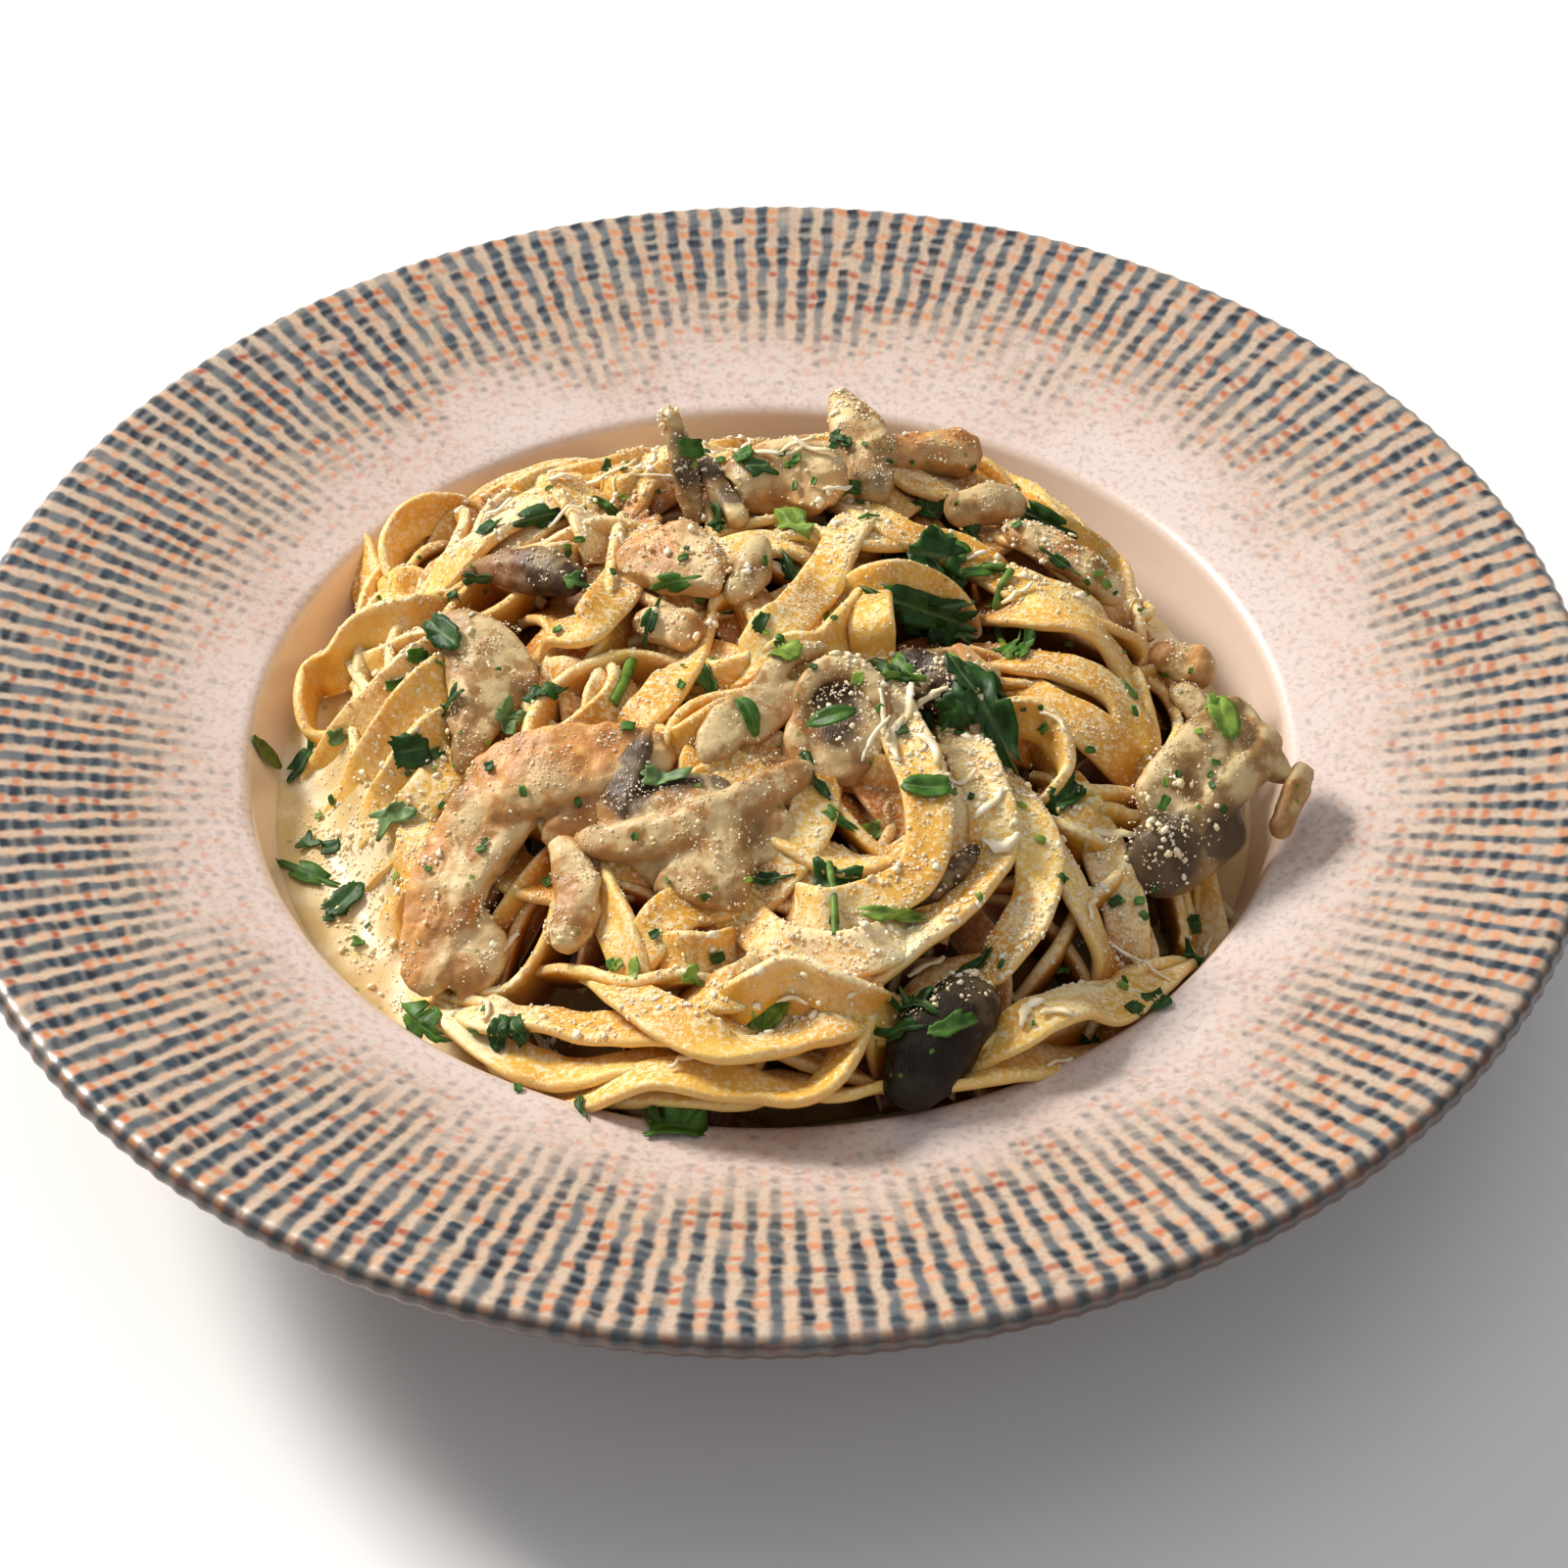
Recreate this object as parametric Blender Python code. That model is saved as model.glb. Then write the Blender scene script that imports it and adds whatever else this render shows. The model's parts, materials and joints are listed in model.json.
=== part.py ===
"""Fettuccine alfredo with chicken and mushrooms, in the deep wide-rimmed plate that it is served in.

The origin is the centre of the plate's foot on the table, +Z is up, and the eater sits at -Y.
The plate is one turned piece. The pasta is a heap that leans on the plate's well and falls to a pool
of sauce at the left. The chicken and the mushrooms lie on the heap, partly sunk into it.
"""

import math

import bmesh
import bpy
from mathutils import Vector, noise

MM = 0.001
GAP = 0.3  # what neighbouring pieces keep between them

# Plate, in mm
PLATE_RADIUS = 135.0
LIP_HEIGHT = 52.0
WELL_RADIUS = 86.0
WELL_HEIGHT = 42.0
FLOOR_RADIUS = 60.0
FLOOR_HEIGHT = 8.0
FOOT_RADIUS = 55.0
FOOT_WIDTH = 6.0
FOOT_HEIGHT = 3.0
FOOT_SLOPE = 1.0
LIP_ROUNDING = 2.4
EDGE_ROUNDING = 3.0
EDGE_OVERHANG = 2.0  # from the well's radius out to the centre of its rounded edge
PLATE_STEPS = 52
WELL_CURVE = 0.45  # below 1: steep near the well's edge, turning into the floor
WELL_LEVELS = (8.0, 9.5, 13.0, 20.0, 29.0)  # heights at which the well's wall bends
# radius and height of the underside's corners between the lip and the foot
UNDERSIDE = ((96.0, 37.5), (88.0, 32.5), (83.0, 22.0), (70.0, 8.0), (59.0, 3.5))

# Pasta heap and sauce, in mm and degrees
SAUCE_LEVEL = 30.0
HEAP_TOP = 63.0
HEAP_FALL = 3.4  # how flat the heap's crown is before its sides fall
HEAP_RINGS = 8
HEAP_STEPS = 44
STRAND_RELIEF = 2.2
STRAND_SPACING = 13.0
CRADLE_REACH = 6.0  # how far beside a topping the heap still swells up to it
CRADLE_DEPTH = 1.8  # how far under a topping's middle the heap meets it
CRADLE_MOST = 9.0
SHOULDER_DROP = 6.0  # from the heap's edge down to where it tucks in
HEAP_CLEARANCE = 1.0  # what the heap keeps from the well's wall
HEAP_WAIST = 20.0  # height at which the heap under the sauce starts to narrow
HEAP_FOOT = 56.0  # radius of the heap on the floor
SAUCE_CLEARANCE = 0.5
SAUCE_LOW = 17.0  # height of the sauce's lower outer edge
SAUCE_MIDDLE = 24.0
SAUCE_INNER_LOW = 18.5
# direction seen from above, reach of the heap, height of its edge, reach below the sauce
HEAP_OUTLINE = (
    (-180, 74, 33, 70),
    (-157, 70, 32, 65),
    (-137, 74, 33, 68),
    (-118, 77, 36, 70),
    (-100, 83, 43, 72),
    (-80, 84, 44, 73),
    (-60, 82, 43, 73),
    (-38, 77, 41, 72),
    (-15, 74, 40, 71),
    (12, 70, 40, 70),
    (38, 74, 42, 71),
    (62, 75, 44, 71),
    (90, 73, 44, 71),
    (118, 74, 43, 71),
    (138, 79, 42, 71),
    (160, 78, 38, 71),
    (180, 74, 33, 70),
)

RING_POINTS = 8
RING_SPACING = 5.4
SQUARENESS = 2.4  # 2 is an ellipse, more is boxier

CERAMIC = ("glazed_stoneware", "#D8C3B0", 0.25)
PASTA = ("egg_pasta", "#E6BC66", 0.45)
CREAM = ("cream_sauce", "#EBDDA8", 0.35)
CHICKEN = ("cooked_chicken", "#E2C49C", 0.5)
MUSHROOM = ("cooked_mushroom", "#B79A80", 0.45)
DARK_MUSHROOM = ("dark_mushroom", "#5B4238", 0.35)

# Each topping is one or more rounded strips, joined. A strip is the way its broad side faces, then
# its stations: x, y, z, half width and half thickness, in mm. The order is from the top piece down.
TOPPINGS = (
    ("mushroom_centre", MUSHROOM, (
        ((0.0, -0.6, 0.8), ((-27, -40, 60, 3.0, 3.0), (-19, -42, 62, 4.5, 3.2), (-9, -41, 65, 4.5, 3.2),
                            (5, -34, 67, 2.5, 2.8))),
        ((-0.2, 0.3, 0.9), ((-22, -38, 62, 5.0, 2.5), (-19, -29, 66, 2.5, 2.2))),
        ((0.0, -0.7, 0.7), ((-13, -41, 62, 9.0, 3.0), (-8, -48, 61, 7.0, 3.5), (-4, -54, 58, 3.0, 3.0))),
    )),
    ("mushroom_round", MUSHROOM, (
        ((-0.15, -0.6, 0.8), ((7, -20, 69, 4.5, 2.6), (11, -26, 69, 7.5, 3.0), (15, -32, 67, 5.0, 2.8))),
    )),
    ("mushroom_arched", MUSHROOM, (
        ((0.0, -0.5, 0.9), ((-9, -31, 66, 3.5, 2.6), (-5, -25, 67, 4.0, 2.6), (-1, -19, 68, 3.4, 2.6),
                            (5, -14, 69, 2.6, 2.4))),
    )),
    ("mushroom_upright", MUSHROOM, (
        ((0.5, -0.8, 0.3), ((-12, 31, 62, 1.8, 1.8), (-14, 36, 69, 2.6, 1.8), (-16, 41, 76, 1.8, 1.5))),
    )),
    ("mushroom_forked", MUSHROOM, (
        ((0.3, -0.6, 0.7), ((-11, 42, 66, 1.6, 1.6), (-9, 35, 67, 2.6, 2.0), (-5, 26, 66, 2.4, 2.0))),
    )),
    ("mushroom_trumpet", MUSHROOM, (
        ((-0.1, -0.8, 0.6), ((-43, -1, 61, 6.5, 2.2), (-45, -7, 60, 5.5, 2.4), (-47, -13, 58, 3.4, 2.4),
                             (-49, -20, 55, 2.6, 2.2))),
        ((-0.1, -0.8, 0.6), ((-54, 5, 60, 1.6, 1.6), (-48, 3, 61, 2.4, 2.0), (-41, 0, 62, 3.0, 2.2))),
    )),
    ("mushroom_left", DARK_MUSHROOM, (
        ((-0.2, -0.4, 0.9), ((-49, 20, 60, 1.4, 1.6), (-43, 17, 63, 3.4, 2.2), (-36, 13, 65, 4.2, 2.4),
                             (-31, 10, 66, 2.6, 2.0))),
    )),
    ("mushroom_right", MUSHROOM, (
        ((0.1, -0.5, 0.8), ((60, -32, 51, 5.5, 3.5), (66, -24, 53, 7.0, 4.5), (73, -16, 53, 6.0, 4.5),
                            (77, -10, 52, 4.0, 3.5))),
        ((0.3, -0.8, 0.5), ((57, -37, 48, 6.0, 4.5), (66, -33, 48, 6.5, 5.0), (75, -24, 49, 4.5, 4.0))),
    )),
    ("mushroom_tip", MUSHROOM, (
        ((0.6, -0.3, 0.7), ((81, -30, 48, 2.0, 1.8), (84, -24, 50, 2.8, 1.8), (86, -19, 50, 1.8, 1.5))),
    )),
    ("mushroom_dark", DARK_MUSHROOM, (
        ((0.2, -0.6, 0.8), ((20, -83, 46, 4.5, 3.0), (25, -77, 50, 7.0, 4.0), (31, -70, 52, 5.0, 3.5))),
    )),
    ("mushroom_curled", DARK_MUSHROOM, (
        ((0.3, -0.7, 0.6), ((17, -57, 59, 1.6, 2.2), (25, -55, 60, 1.8, 2.4), (31, -48, 61, 1.6, 2.2))),
    )),
    ("mushroom_back", MUSHROOM, (
        ((0.1, -0.7, 0.7), ((18, 37, 63, 4.0, 3.5), (17, 44, 65, 5.5, 4.0), (15, 50, 66, 4.8, 3.8),
                            (13, 56, 66, 2.6, 2.6))),
    )),
    ("mushroom_pale", MUSHROOM, (
        ((0.0, -0.5, 0.9), ((32, 35, 60, 2.8, 2.5), (37, 36, 60, 3.6, 3.0), (42, 38, 58, 3.2, 2.6))),
    )),
    ("mushroom_tail", MUSHROOM, (
        ((0.2, -0.5, 0.9), ((-5, 6, 67, 2.8, 2.4), (-2, 10, 68, 3.2, 2.6), (-1, 16, 68, 2.2, 2.0))),
    )),
    ("chicken_large", CHICKEN, (
        ((-0.2, -0.5, 0.9), ((-19, -31, 62, 5.5, 3.5), (-31, -31, 61, 7.0, 4.0), (-42, -33, 57, 7.0, 4.0))),
        ((-0.4, -0.6, 0.7), ((-44, -31, 56, 6.5, 4.0), (-48, -42, 49, 7.0, 4.0), (-50, -53, 41, 7.5, 4.0))),
    )),
    ("chicken_back_left", CHICKEN, (
        ((0.0, -0.5, 0.9), ((-22, 16, 66, 4.5, 3.0), (-15, 14, 68, 7.2, 3.5), (-8, 8, 68, 4.0, 3.0))),
    )),
    ("chicken_back", CHICKEN, (
        ((0.0, -0.5, 0.9), ((-5, 34, 66, 4.5, 3.0), (2, 36, 67, 7.0, 3.6), (10, 34, 67, 7.0, 3.6))),
    )),
    ("chicken_back_right", CHICKEN, (
        ((0.1, -0.5, 0.9), ((21, 48, 61, 3.2, 3.0), (27, 50, 60, 3.8, 3.5), (33, 51, 59, 4.8, 4.0))),
    )),
    ("chicken_right", CHICKEN, (
        ((0.2, -0.3, 0.9), ((41, 28, 61, 2.6, 2.4), (49, 24, 60, 3.4, 2.8), (57, 19, 55, 2.8, 2.4))),
    )),
    ("chicken_nub", CHICKEN, (
        ((0.3, -0.5, 0.8), ((66, 12, 47, 3.0, 3.0), (71, 10, 46, 3.8, 3.4))),
    )),
    ("chicken_crumb", CHICKEN, (
        ((0.2, -0.5, 0.8), ((68, 3, 47, 2.6, 2.4), (71, -1, 46, 3.0, 2.6))),
    )),
    ("chicken_stub", CHICKEN, (
        ((-0.1, -0.7, 0.7), ((-32, -43, 57, 2.6, 2.4), (-29, -49, 55, 4.2, 3.0), (-31, -57, 52, 3.0, 2.6))),
    )),
    ("mushroom_shaded", DARK_MUSHROOM, (
        ((0.1, -0.6, 0.8), ((22, -8, 64, 3.0, 2.6), (27, -13, 64, 4.4, 3.0), (31, -17, 63, 3.0, 2.6))),
    )),
    ("chicken_shaded", CHICKEN, (
        ((0.1, -0.6, 0.8), ((31, -5, 63, 2.8, 2.4), (35, -10, 62, 3.0, 2.6))),
    )),
    ("chicken_tucked", CHICKEN, (
        ((0.0, -0.6, 0.8), ((-19, 2, 64, 3.2, 3.0), (-13, 0, 64, 3.6, 3.2))),
    )),
)
LUMP_SIZE = 7.0
LUMP_HEIGHT = 0.9
END_SHARE = 0.66  # how much of its width a strip keeps where its domed end begins
END_STEP = 0.7  # how far out the domed end's ring stands, in half thicknesses


def clear_scene():
    for found in list(bpy.data.objects):
        bpy.data.objects.remove(found, do_unlink=True)


def to_linear(channel):
    """One sRGB channel from 0 to 255 as the linear value that a material takes."""
    value = channel / 255
    return value / 12.92 if value <= 0.04045 else ((value + 0.055) / 1.055) ** 2.4


def material(finish):
    """The material of a finish: its name, its sRGB colour and its roughness."""
    name, colour, roughness = finish
    made = bpy.data.materials.get(name)
    if made:
        return made
    made = bpy.data.materials.new(name)
    made.use_nodes = True
    shader = made.node_tree.nodes["Principled BSDF"]
    channels = [to_linear(int(colour[i : i + 2], 16)) for i in (1, 3, 5)]
    shader.inputs["Base Color"].default_value = (*channels, 1.0)
    shader.inputs["Roughness"].default_value = roughness
    shader.inputs["Metallic"].default_value = 0.0
    return made


def add_object(name, body, finish):
    """Puts a bmesh made in mm into the scene as an object in metres, smooth but for its sharp edges."""
    bmesh.ops.scale(body, vec=(MM, MM, MM), verts=body.verts)
    bmesh.ops.recalc_face_normals(body, faces=body.faces)
    bmesh.ops.triangulate(body, faces=body.faces)  # flat faces, so that a cut follows them exactly
    mesh = bpy.data.meshes.new(name)
    body.to_mesh(mesh)
    body.free()
    mesh.shade_smooth()
    mesh.set_sharp_from_angle(angle=math.radians(50))
    made = bpy.data.objects.new(name, mesh)
    made.data.materials.append(material(finish))
    bpy.context.scene.collection.objects.link(made)
    return made


def arc(centre, radius, start, end, steps):
    """Points along an arc of a profile, from one angle in degrees to the other."""
    angles = [math.radians(start + (end - start) * i / steps) for i in range(steps + 1)]
    return [(centre[0] + radius * math.cos(a), centre[1] + radius * math.sin(a)) for a in angles]


def well_radius(height):
    """Radius of the well's inner wall at a height: steep above, turning into the floor below."""
    share = min(max((height - FLOOR_HEIGHT) / (WELL_HEIGHT - FLOOR_HEIGHT), 0.0), 1.0)
    return FLOOR_RADIUS + (WELL_RADIUS - FLOOR_RADIUS) * share**WELL_CURVE


def plate_profile():
    """The plate's half section, from the centre of the floor out over the rim and back underneath."""
    inner = [(0.0, FLOOR_HEIGHT)]
    inner += [(well_radius(z), z) for z in WELL_LEVELS]
    edge_centre = (WELL_RADIUS + EDGE_OVERHANG, WELL_HEIGHT - EDGE_ROUNDING)
    inner += arc(edge_centre, EDGE_ROUNDING, 165, 102, 2)
    lip_centre = (PLATE_RADIUS - LIP_ROUNDING, LIP_HEIGHT - LIP_ROUNDING)
    lip = arc(lip_centre, LIP_ROUNDING, 100, -50, 3)
    foot = [
        (FOOT_RADIUS, 0.0),
        (FOOT_RADIUS - FOOT_WIDTH, 0.0),
        (FOOT_RADIUS - FOOT_WIDTH - FOOT_SLOPE, FOOT_HEIGHT),
        (0.0, FOOT_HEIGHT),
    ]
    return inner + lip + list(UNDERSIDE) + foot


def plate():
    body = bmesh.new()
    points = [body.verts.new((radius, 0.0, height)) for radius, height in plate_profile()]
    edges = [body.edges.new(pair) for pair in zip(points, points[1:])]
    bmesh.ops.spin(
        body, geom=points + edges, cent=(0, 0, 0), axis=(0, 0, 1), angle=math.tau, steps=PLATE_STEPS,
    )
    bmesh.ops.remove_doubles(body, verts=body.verts, dist=0.01)
    return add_object("plate", body, CERAMIC)


def outline_at(degrees):
    """Reach of the heap, height of its edge and reach under the sauce, eased between the named ones."""
    for low, high in zip(HEAP_OUTLINE, HEAP_OUTLINE[1:]):
        if degrees <= high[0]:
            share = (degrees - low[0]) / (high[0] - low[0])
            share = share * share * (3 - 2 * share)
            return [a + (b - a) * share for a, b in zip(low[1:], high[1:])]
    return list(HEAP_OUTLINE[-1][1:])


def strand_relief(x, y):
    """The bumps and furrows that loops of pasta leave in the heap's outer surface."""
    place = Vector((x, y, 0.0)) / STRAND_SPACING
    swirl = noise.noise(place * 0.5 + Vector((3.1, 7.7, 0.0))) * 2.0
    return STRAND_RELIEF * (noise.noise(place + Vector((swirl, -swirl, 1.5))) * 1.6)


def cradled(place, height):
    """The heap's height at a place, swollen up to meet the underside of any topping that lies there."""
    for _, _, strips in TOPPINGS:
        for _, stations in strips:
            for x, y, z, half_width, _ in stations:
                apart = math.hypot(place.x - x, place.y - y) / (half_width + CRADLE_REACH)
                rise = z - CRADLE_DEPTH - height
                if apart < 1 and 0 < rise < CRADLE_MOST:
                    height += rise * (1 - apart * apart)
    return height


def heap_columns():
    """For each direction, the heap's points from the centre of its crown out, down and in to its base."""
    columns = []
    for step in range(HEAP_STEPS):
        degrees = -180 + 360 * (step + 0.5) / HEAP_STEPS
        reach, edge, low_reach = outline_at(degrees)
        along = Vector((math.cos(math.radians(degrees)), math.sin(math.radians(degrees)), 0.0))
        column = []
        for ring in range(1, HEAP_RINGS + 1):
            share = ring / HEAP_RINGS
            height = edge + (HEAP_TOP - edge) * (1 - share**HEAP_FALL)
            place = along * reach * share
            height += strand_relief(place.x, place.y) * (1 - share**HEAP_RINGS)
            height = cradled(place, height)
            column.append(place + Vector((0, 0, height)))
        shoulder = max(edge - SHOULDER_DROP, SAUCE_LEVEL + CRADLE_DEPTH)
        widest = min(reach, well_radius(shoulder)) - HEAP_CLEARANCE
        column.append(along * widest + Vector((0, 0, shoulder)))
        column.append(along * low_reach + Vector((0, 0, SAUCE_LEVEL + SAUCE_CLEARANCE)))
        column.append(along * (low_reach - 2 * HEAP_CLEARANCE) + Vector((0, 0, HEAP_WAIST)))
        column.append(along * HEAP_FOOT + Vector((0, 0, FLOOR_HEIGHT + GAP)))
        columns.append(column)
    return columns


def ringed_body(columns, crown, base):
    """A closed body from equal columns of points round the Z axis, shut by a crown and a base point."""
    body = bmesh.new()
    top, bottom = body.verts.new(crown), body.verts.new(base)
    grid = [[body.verts.new(point) for point in column] for column in columns]
    for column, following in zip(grid, grid[1:] + grid[:1]):
        body.faces.new((top, column[0], following[0]))
        for upper in range(len(column) - 1):
            body.faces.new((column[upper], column[upper + 1], following[upper + 1], following[upper]))
        body.faces.new((column[-1], bottom, following[-1]))
    return body


def heap():
    crown = (0, 0, HEAP_TOP + strand_relief(0, 0))
    body = ringed_body(heap_columns(), crown, (0, 0, FLOOR_HEIGHT + GAP))
    return add_object("fettuccine", body, PASTA)


def sauce():
    """The ring of sauce between the heap and the well's wall, wide at the left and hidden elsewhere."""
    body = bmesh.new()
    sections = []
    for step in range(HEAP_STEPS):
        degrees = -180 + 360 * (step + 0.5) / HEAP_STEPS
        low_reach = outline_at(degrees)[2] + GAP
        along = Vector((math.cos(math.radians(degrees)), math.sin(math.radians(degrees)), 0.0))
        section = [
            along * low_reach + Vector((0, 0, SAUCE_LEVEL)),
            along * (well_radius(SAUCE_LEVEL) - SAUCE_CLEARANCE) + Vector((0, 0, SAUCE_LEVEL)),
            along * (well_radius(SAUCE_MIDDLE) - SAUCE_CLEARANCE - GAP) + Vector((0, 0, SAUCE_MIDDLE)),
            along * (well_radius(SAUCE_LOW) - SAUCE_CLEARANCE - GAP) + Vector((0, 0, SAUCE_LOW)),
            along * (low_reach - HEAP_CLEARANCE - GAP) + Vector((0, 0, SAUCE_INNER_LOW)),
        ]
        sections.append([body.verts.new(point) for point in section])
    for section, following in zip(sections, sections[1:] + sections[:1]):
        for here in range(len(section)):
            after = (here + 1) % len(section)
            body.faces.new((section[here], section[after], following[after], following[here]))
    return add_object("sauce", body, CREAM)


def between(before, here, after, beyond, share):
    """A point of the smooth curve through four stations, between the middle two."""
    return [
        0.5 * (2 * b + (c - a) * share + (2 * a - 5 * b + 4 * c - d) * share**2
               + (3 * b - a - 3 * c + d) * share**3)
        for a, b, c, d in zip(before, here, after, beyond)
    ]


def smooth_stations(stations):
    """Evenly spaced stations along the smooth curve through the given ones."""
    padded = [stations[0], *stations, stations[-1]]
    found = []
    for before, here, after, beyond in zip(padded, padded[1:], padded[2:], padded[3:]):
        length = math.dist(here[:3], after[:3])
        steps = max(1, round(length / RING_SPACING))
        found += [between(before, here, after, beyond, i / steps) for i in range(steps)]
    return found + [list(stations[-1])]


def rounded_strip(face, stations, grow, seed):
    """A rounded strip of food through its stations, with domed ends and a lumpy skin."""
    smooth = smooth_stations(stations)
    points = [Vector(station[:3]) for station in smooth]
    tangents = []
    for index in range(len(points)):
        ahead = points[min(index + 1, len(points) - 1)]
        behind = points[max(index - 1, 0)]
        tangents.append((ahead - behind).normalized())
    rings = [(point, tangent, station[3], station[4])
             for point, tangent, station in zip(points, tangents, smooth)]
    start, end = rings[0], rings[-1]
    first = (start[0] - start[1] * start[3] * END_STEP, start[1], start[2] * END_SHARE, start[3] * END_SHARE)
    last = (end[0] + end[1] * end[3] * END_STEP, end[1], end[2] * END_SHARE, end[3] * END_SHARE)
    body = bmesh.new()
    loops = []
    for place, tangent, half_width, half_thickness in [first, *rings, last]:
        across = tangent.cross(Vector(face)).normalized()
        out = across.cross(tangent)
        loop = []
        for corner in range(RING_POINTS):
            angle = math.tau * corner / RING_POINTS
            side = math.copysign(abs(math.cos(angle)) ** (2 / SQUARENESS), math.cos(angle))
            rise = math.copysign(abs(math.sin(angle)) ** (2 / SQUARENESS), math.sin(angle))
            lump = noise.noise((place + across * side * half_width) / LUMP_SIZE + Vector((seed, 0, rise)))
            swell = 1 + LUMP_HEIGHT * lump / half_thickness
            width, thickness = half_width * swell + grow, half_thickness * swell + grow
            loop.append(body.verts.new(place + across * side * width + out * rise * thickness))
        loops.append(loop)
    for loop, following in zip(loops, loops[1:]):
        for here in range(RING_POINTS):
            after = (here + 1) % RING_POINTS
            body.faces.new((loop[here], loop[after], following[after], following[here]))
    for loop, ring, way in ((loops[0], start, -1), (loops[-1], end, 1)):
        tip = body.verts.new(ring[0] + ring[1] * way * (ring[3] + grow))
        for here in range(RING_POINTS):
            body.faces.new((loop[here], loop[(here + 1) % RING_POINTS], tip))
    return body


def apply_boolean(target, tool, operation):
    """Joins the tool to the target, or cuts it away, and removes the tool."""
    change = target.modifiers.new("join" if operation == "UNION" else "cut", "BOOLEAN")
    change.operation = operation
    change.solver = "EXACT"
    change.object = tool
    graph = bpy.context.evaluated_depsgraph_get()
    result = bpy.data.meshes.new_from_object(target.evaluated_get(graph))
    target.modifiers.clear()
    target.data = result
    bpy.data.objects.remove(tool, do_unlink=True)


def strip_objects(name, finish, strips, grow=0.0):
    """The strips of one topping as objects, each grown on all sides when it is to cut its own room."""
    made = []
    for index, (face, stations) in enumerate(strips):
        seed = sum(map(ord, name)) % 50 + index * 5.3
        made.append(add_object(f"{name}.{index}", rounded_strip(face, stations, grow, seed), finish))
    bpy.context.view_layer.update()
    return made


def topping(name, finish, strips):
    made, *others = strip_objects(name, finish, strips)
    for other in others:
        apply_boolean(made, other, "UNION")
    made.name = name
    return made


def overlap_possible(first, second):
    """Whether the boxes of two objects meet."""
    boxes = [[[corner[axis] for corner in made.bound_box] for axis in range(3)] for made in (first, second)]
    return all(min(a) <= max(b) and min(b) <= max(a) for a, b in zip(*boxes))


def largest_piece(made):
    """Drops the crumbs that a cut leaves beside the main body."""
    body = bmesh.new()
    body.from_mesh(made.data)
    unseen, pieces = set(body.verts), []
    while unseen:
        piece, front = set(), [unseen.pop()]
        while front:
            vertex = front.pop()
            piece.add(vertex)
            for edge in vertex.link_edges:
                other = edge.other_vert(vertex)
                if other in unseen:
                    unseen.discard(other)
                    front.append(other)
        pieces.append(piece)
    pieces.sort(key=len)
    for piece in pieces[:-1]:
        bmesh.ops.delete(body, geom=list(piece), context="VERTS")
    body.to_mesh(made.data)
    body.free()


def set_into(made, uppers):
    """Cuts from a piece the room, with a gap, of the toppings that lie on it or in it."""
    for name, finish, strips in uppers:
        for tool in strip_objects(name, finish, strips, GAP):
            if overlap_possible(made, tool):
                apply_boolean(made, tool, "DIFFERENCE")
            else:
                bpy.data.objects.remove(tool, do_unlink=True)
    largest_piece(made)


def main():
    clear_scene()
    plate()
    sauce()
    for index, (name, finish, strips) in enumerate(TOPPINGS):
        set_into(topping(name, finish, strips), TOPPINGS[:index])
    set_into(heap(), TOPPINGS)


main()
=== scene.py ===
"""Looks of the fettuccine alfredo: glazed plate, cream sauce, egg ribbons, chicken, mushrooms and garnish.

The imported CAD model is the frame. Every piece here is placed by it, in metres, with +Z up and the eater
at -Y. Lengths in the tables below are in millimetres.
"""

import json
import math

import bmesh
import bpy
import numpy as np
from bpy.props import FloatProperty, FloatVectorProperty, IntProperty, PointerProperty
from bpy.types import Operator, Panel, PropertyGroup
from mathutils import Matrix, Vector, bvhtree, noise

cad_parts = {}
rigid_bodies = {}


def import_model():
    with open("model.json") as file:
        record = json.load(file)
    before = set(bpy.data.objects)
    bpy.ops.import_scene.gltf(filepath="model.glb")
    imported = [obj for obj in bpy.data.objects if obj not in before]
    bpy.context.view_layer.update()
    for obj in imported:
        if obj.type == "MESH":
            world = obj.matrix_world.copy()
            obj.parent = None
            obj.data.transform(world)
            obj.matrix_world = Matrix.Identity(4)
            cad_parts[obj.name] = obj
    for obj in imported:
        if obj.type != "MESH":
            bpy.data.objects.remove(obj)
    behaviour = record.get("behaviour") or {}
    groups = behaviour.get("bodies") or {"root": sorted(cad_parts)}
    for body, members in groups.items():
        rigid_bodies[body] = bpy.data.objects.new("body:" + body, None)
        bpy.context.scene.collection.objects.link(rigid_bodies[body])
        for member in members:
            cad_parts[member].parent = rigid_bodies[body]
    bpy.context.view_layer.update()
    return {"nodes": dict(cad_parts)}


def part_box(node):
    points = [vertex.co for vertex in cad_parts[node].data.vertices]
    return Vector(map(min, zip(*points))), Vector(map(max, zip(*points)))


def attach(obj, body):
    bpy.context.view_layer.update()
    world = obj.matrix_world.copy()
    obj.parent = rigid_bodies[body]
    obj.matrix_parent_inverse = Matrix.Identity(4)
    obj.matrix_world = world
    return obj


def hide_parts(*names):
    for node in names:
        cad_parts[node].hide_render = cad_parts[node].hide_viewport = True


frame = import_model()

bl_info = {
    "name": "Fettuccine alfredo",
    "version": (1, 0, 0),
    "blender": (4, 5, 0),
    "location": "3D View > Sidebar > Alfredo",
    "description": "Builds the finished plate of fettuccine alfredo around its packed model",
    "category": "Object",
}

MM = 0.001
_, PLATE_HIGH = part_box("plate")
_, SAUCE_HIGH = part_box("sauce")
PLATE_RADIUS = PLATE_HIGH.x / MM
LIP_HEIGHT = PLATE_HIGH.z / MM
SAUCE_LEVEL = SAUCE_HIGH.z / MM

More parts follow.
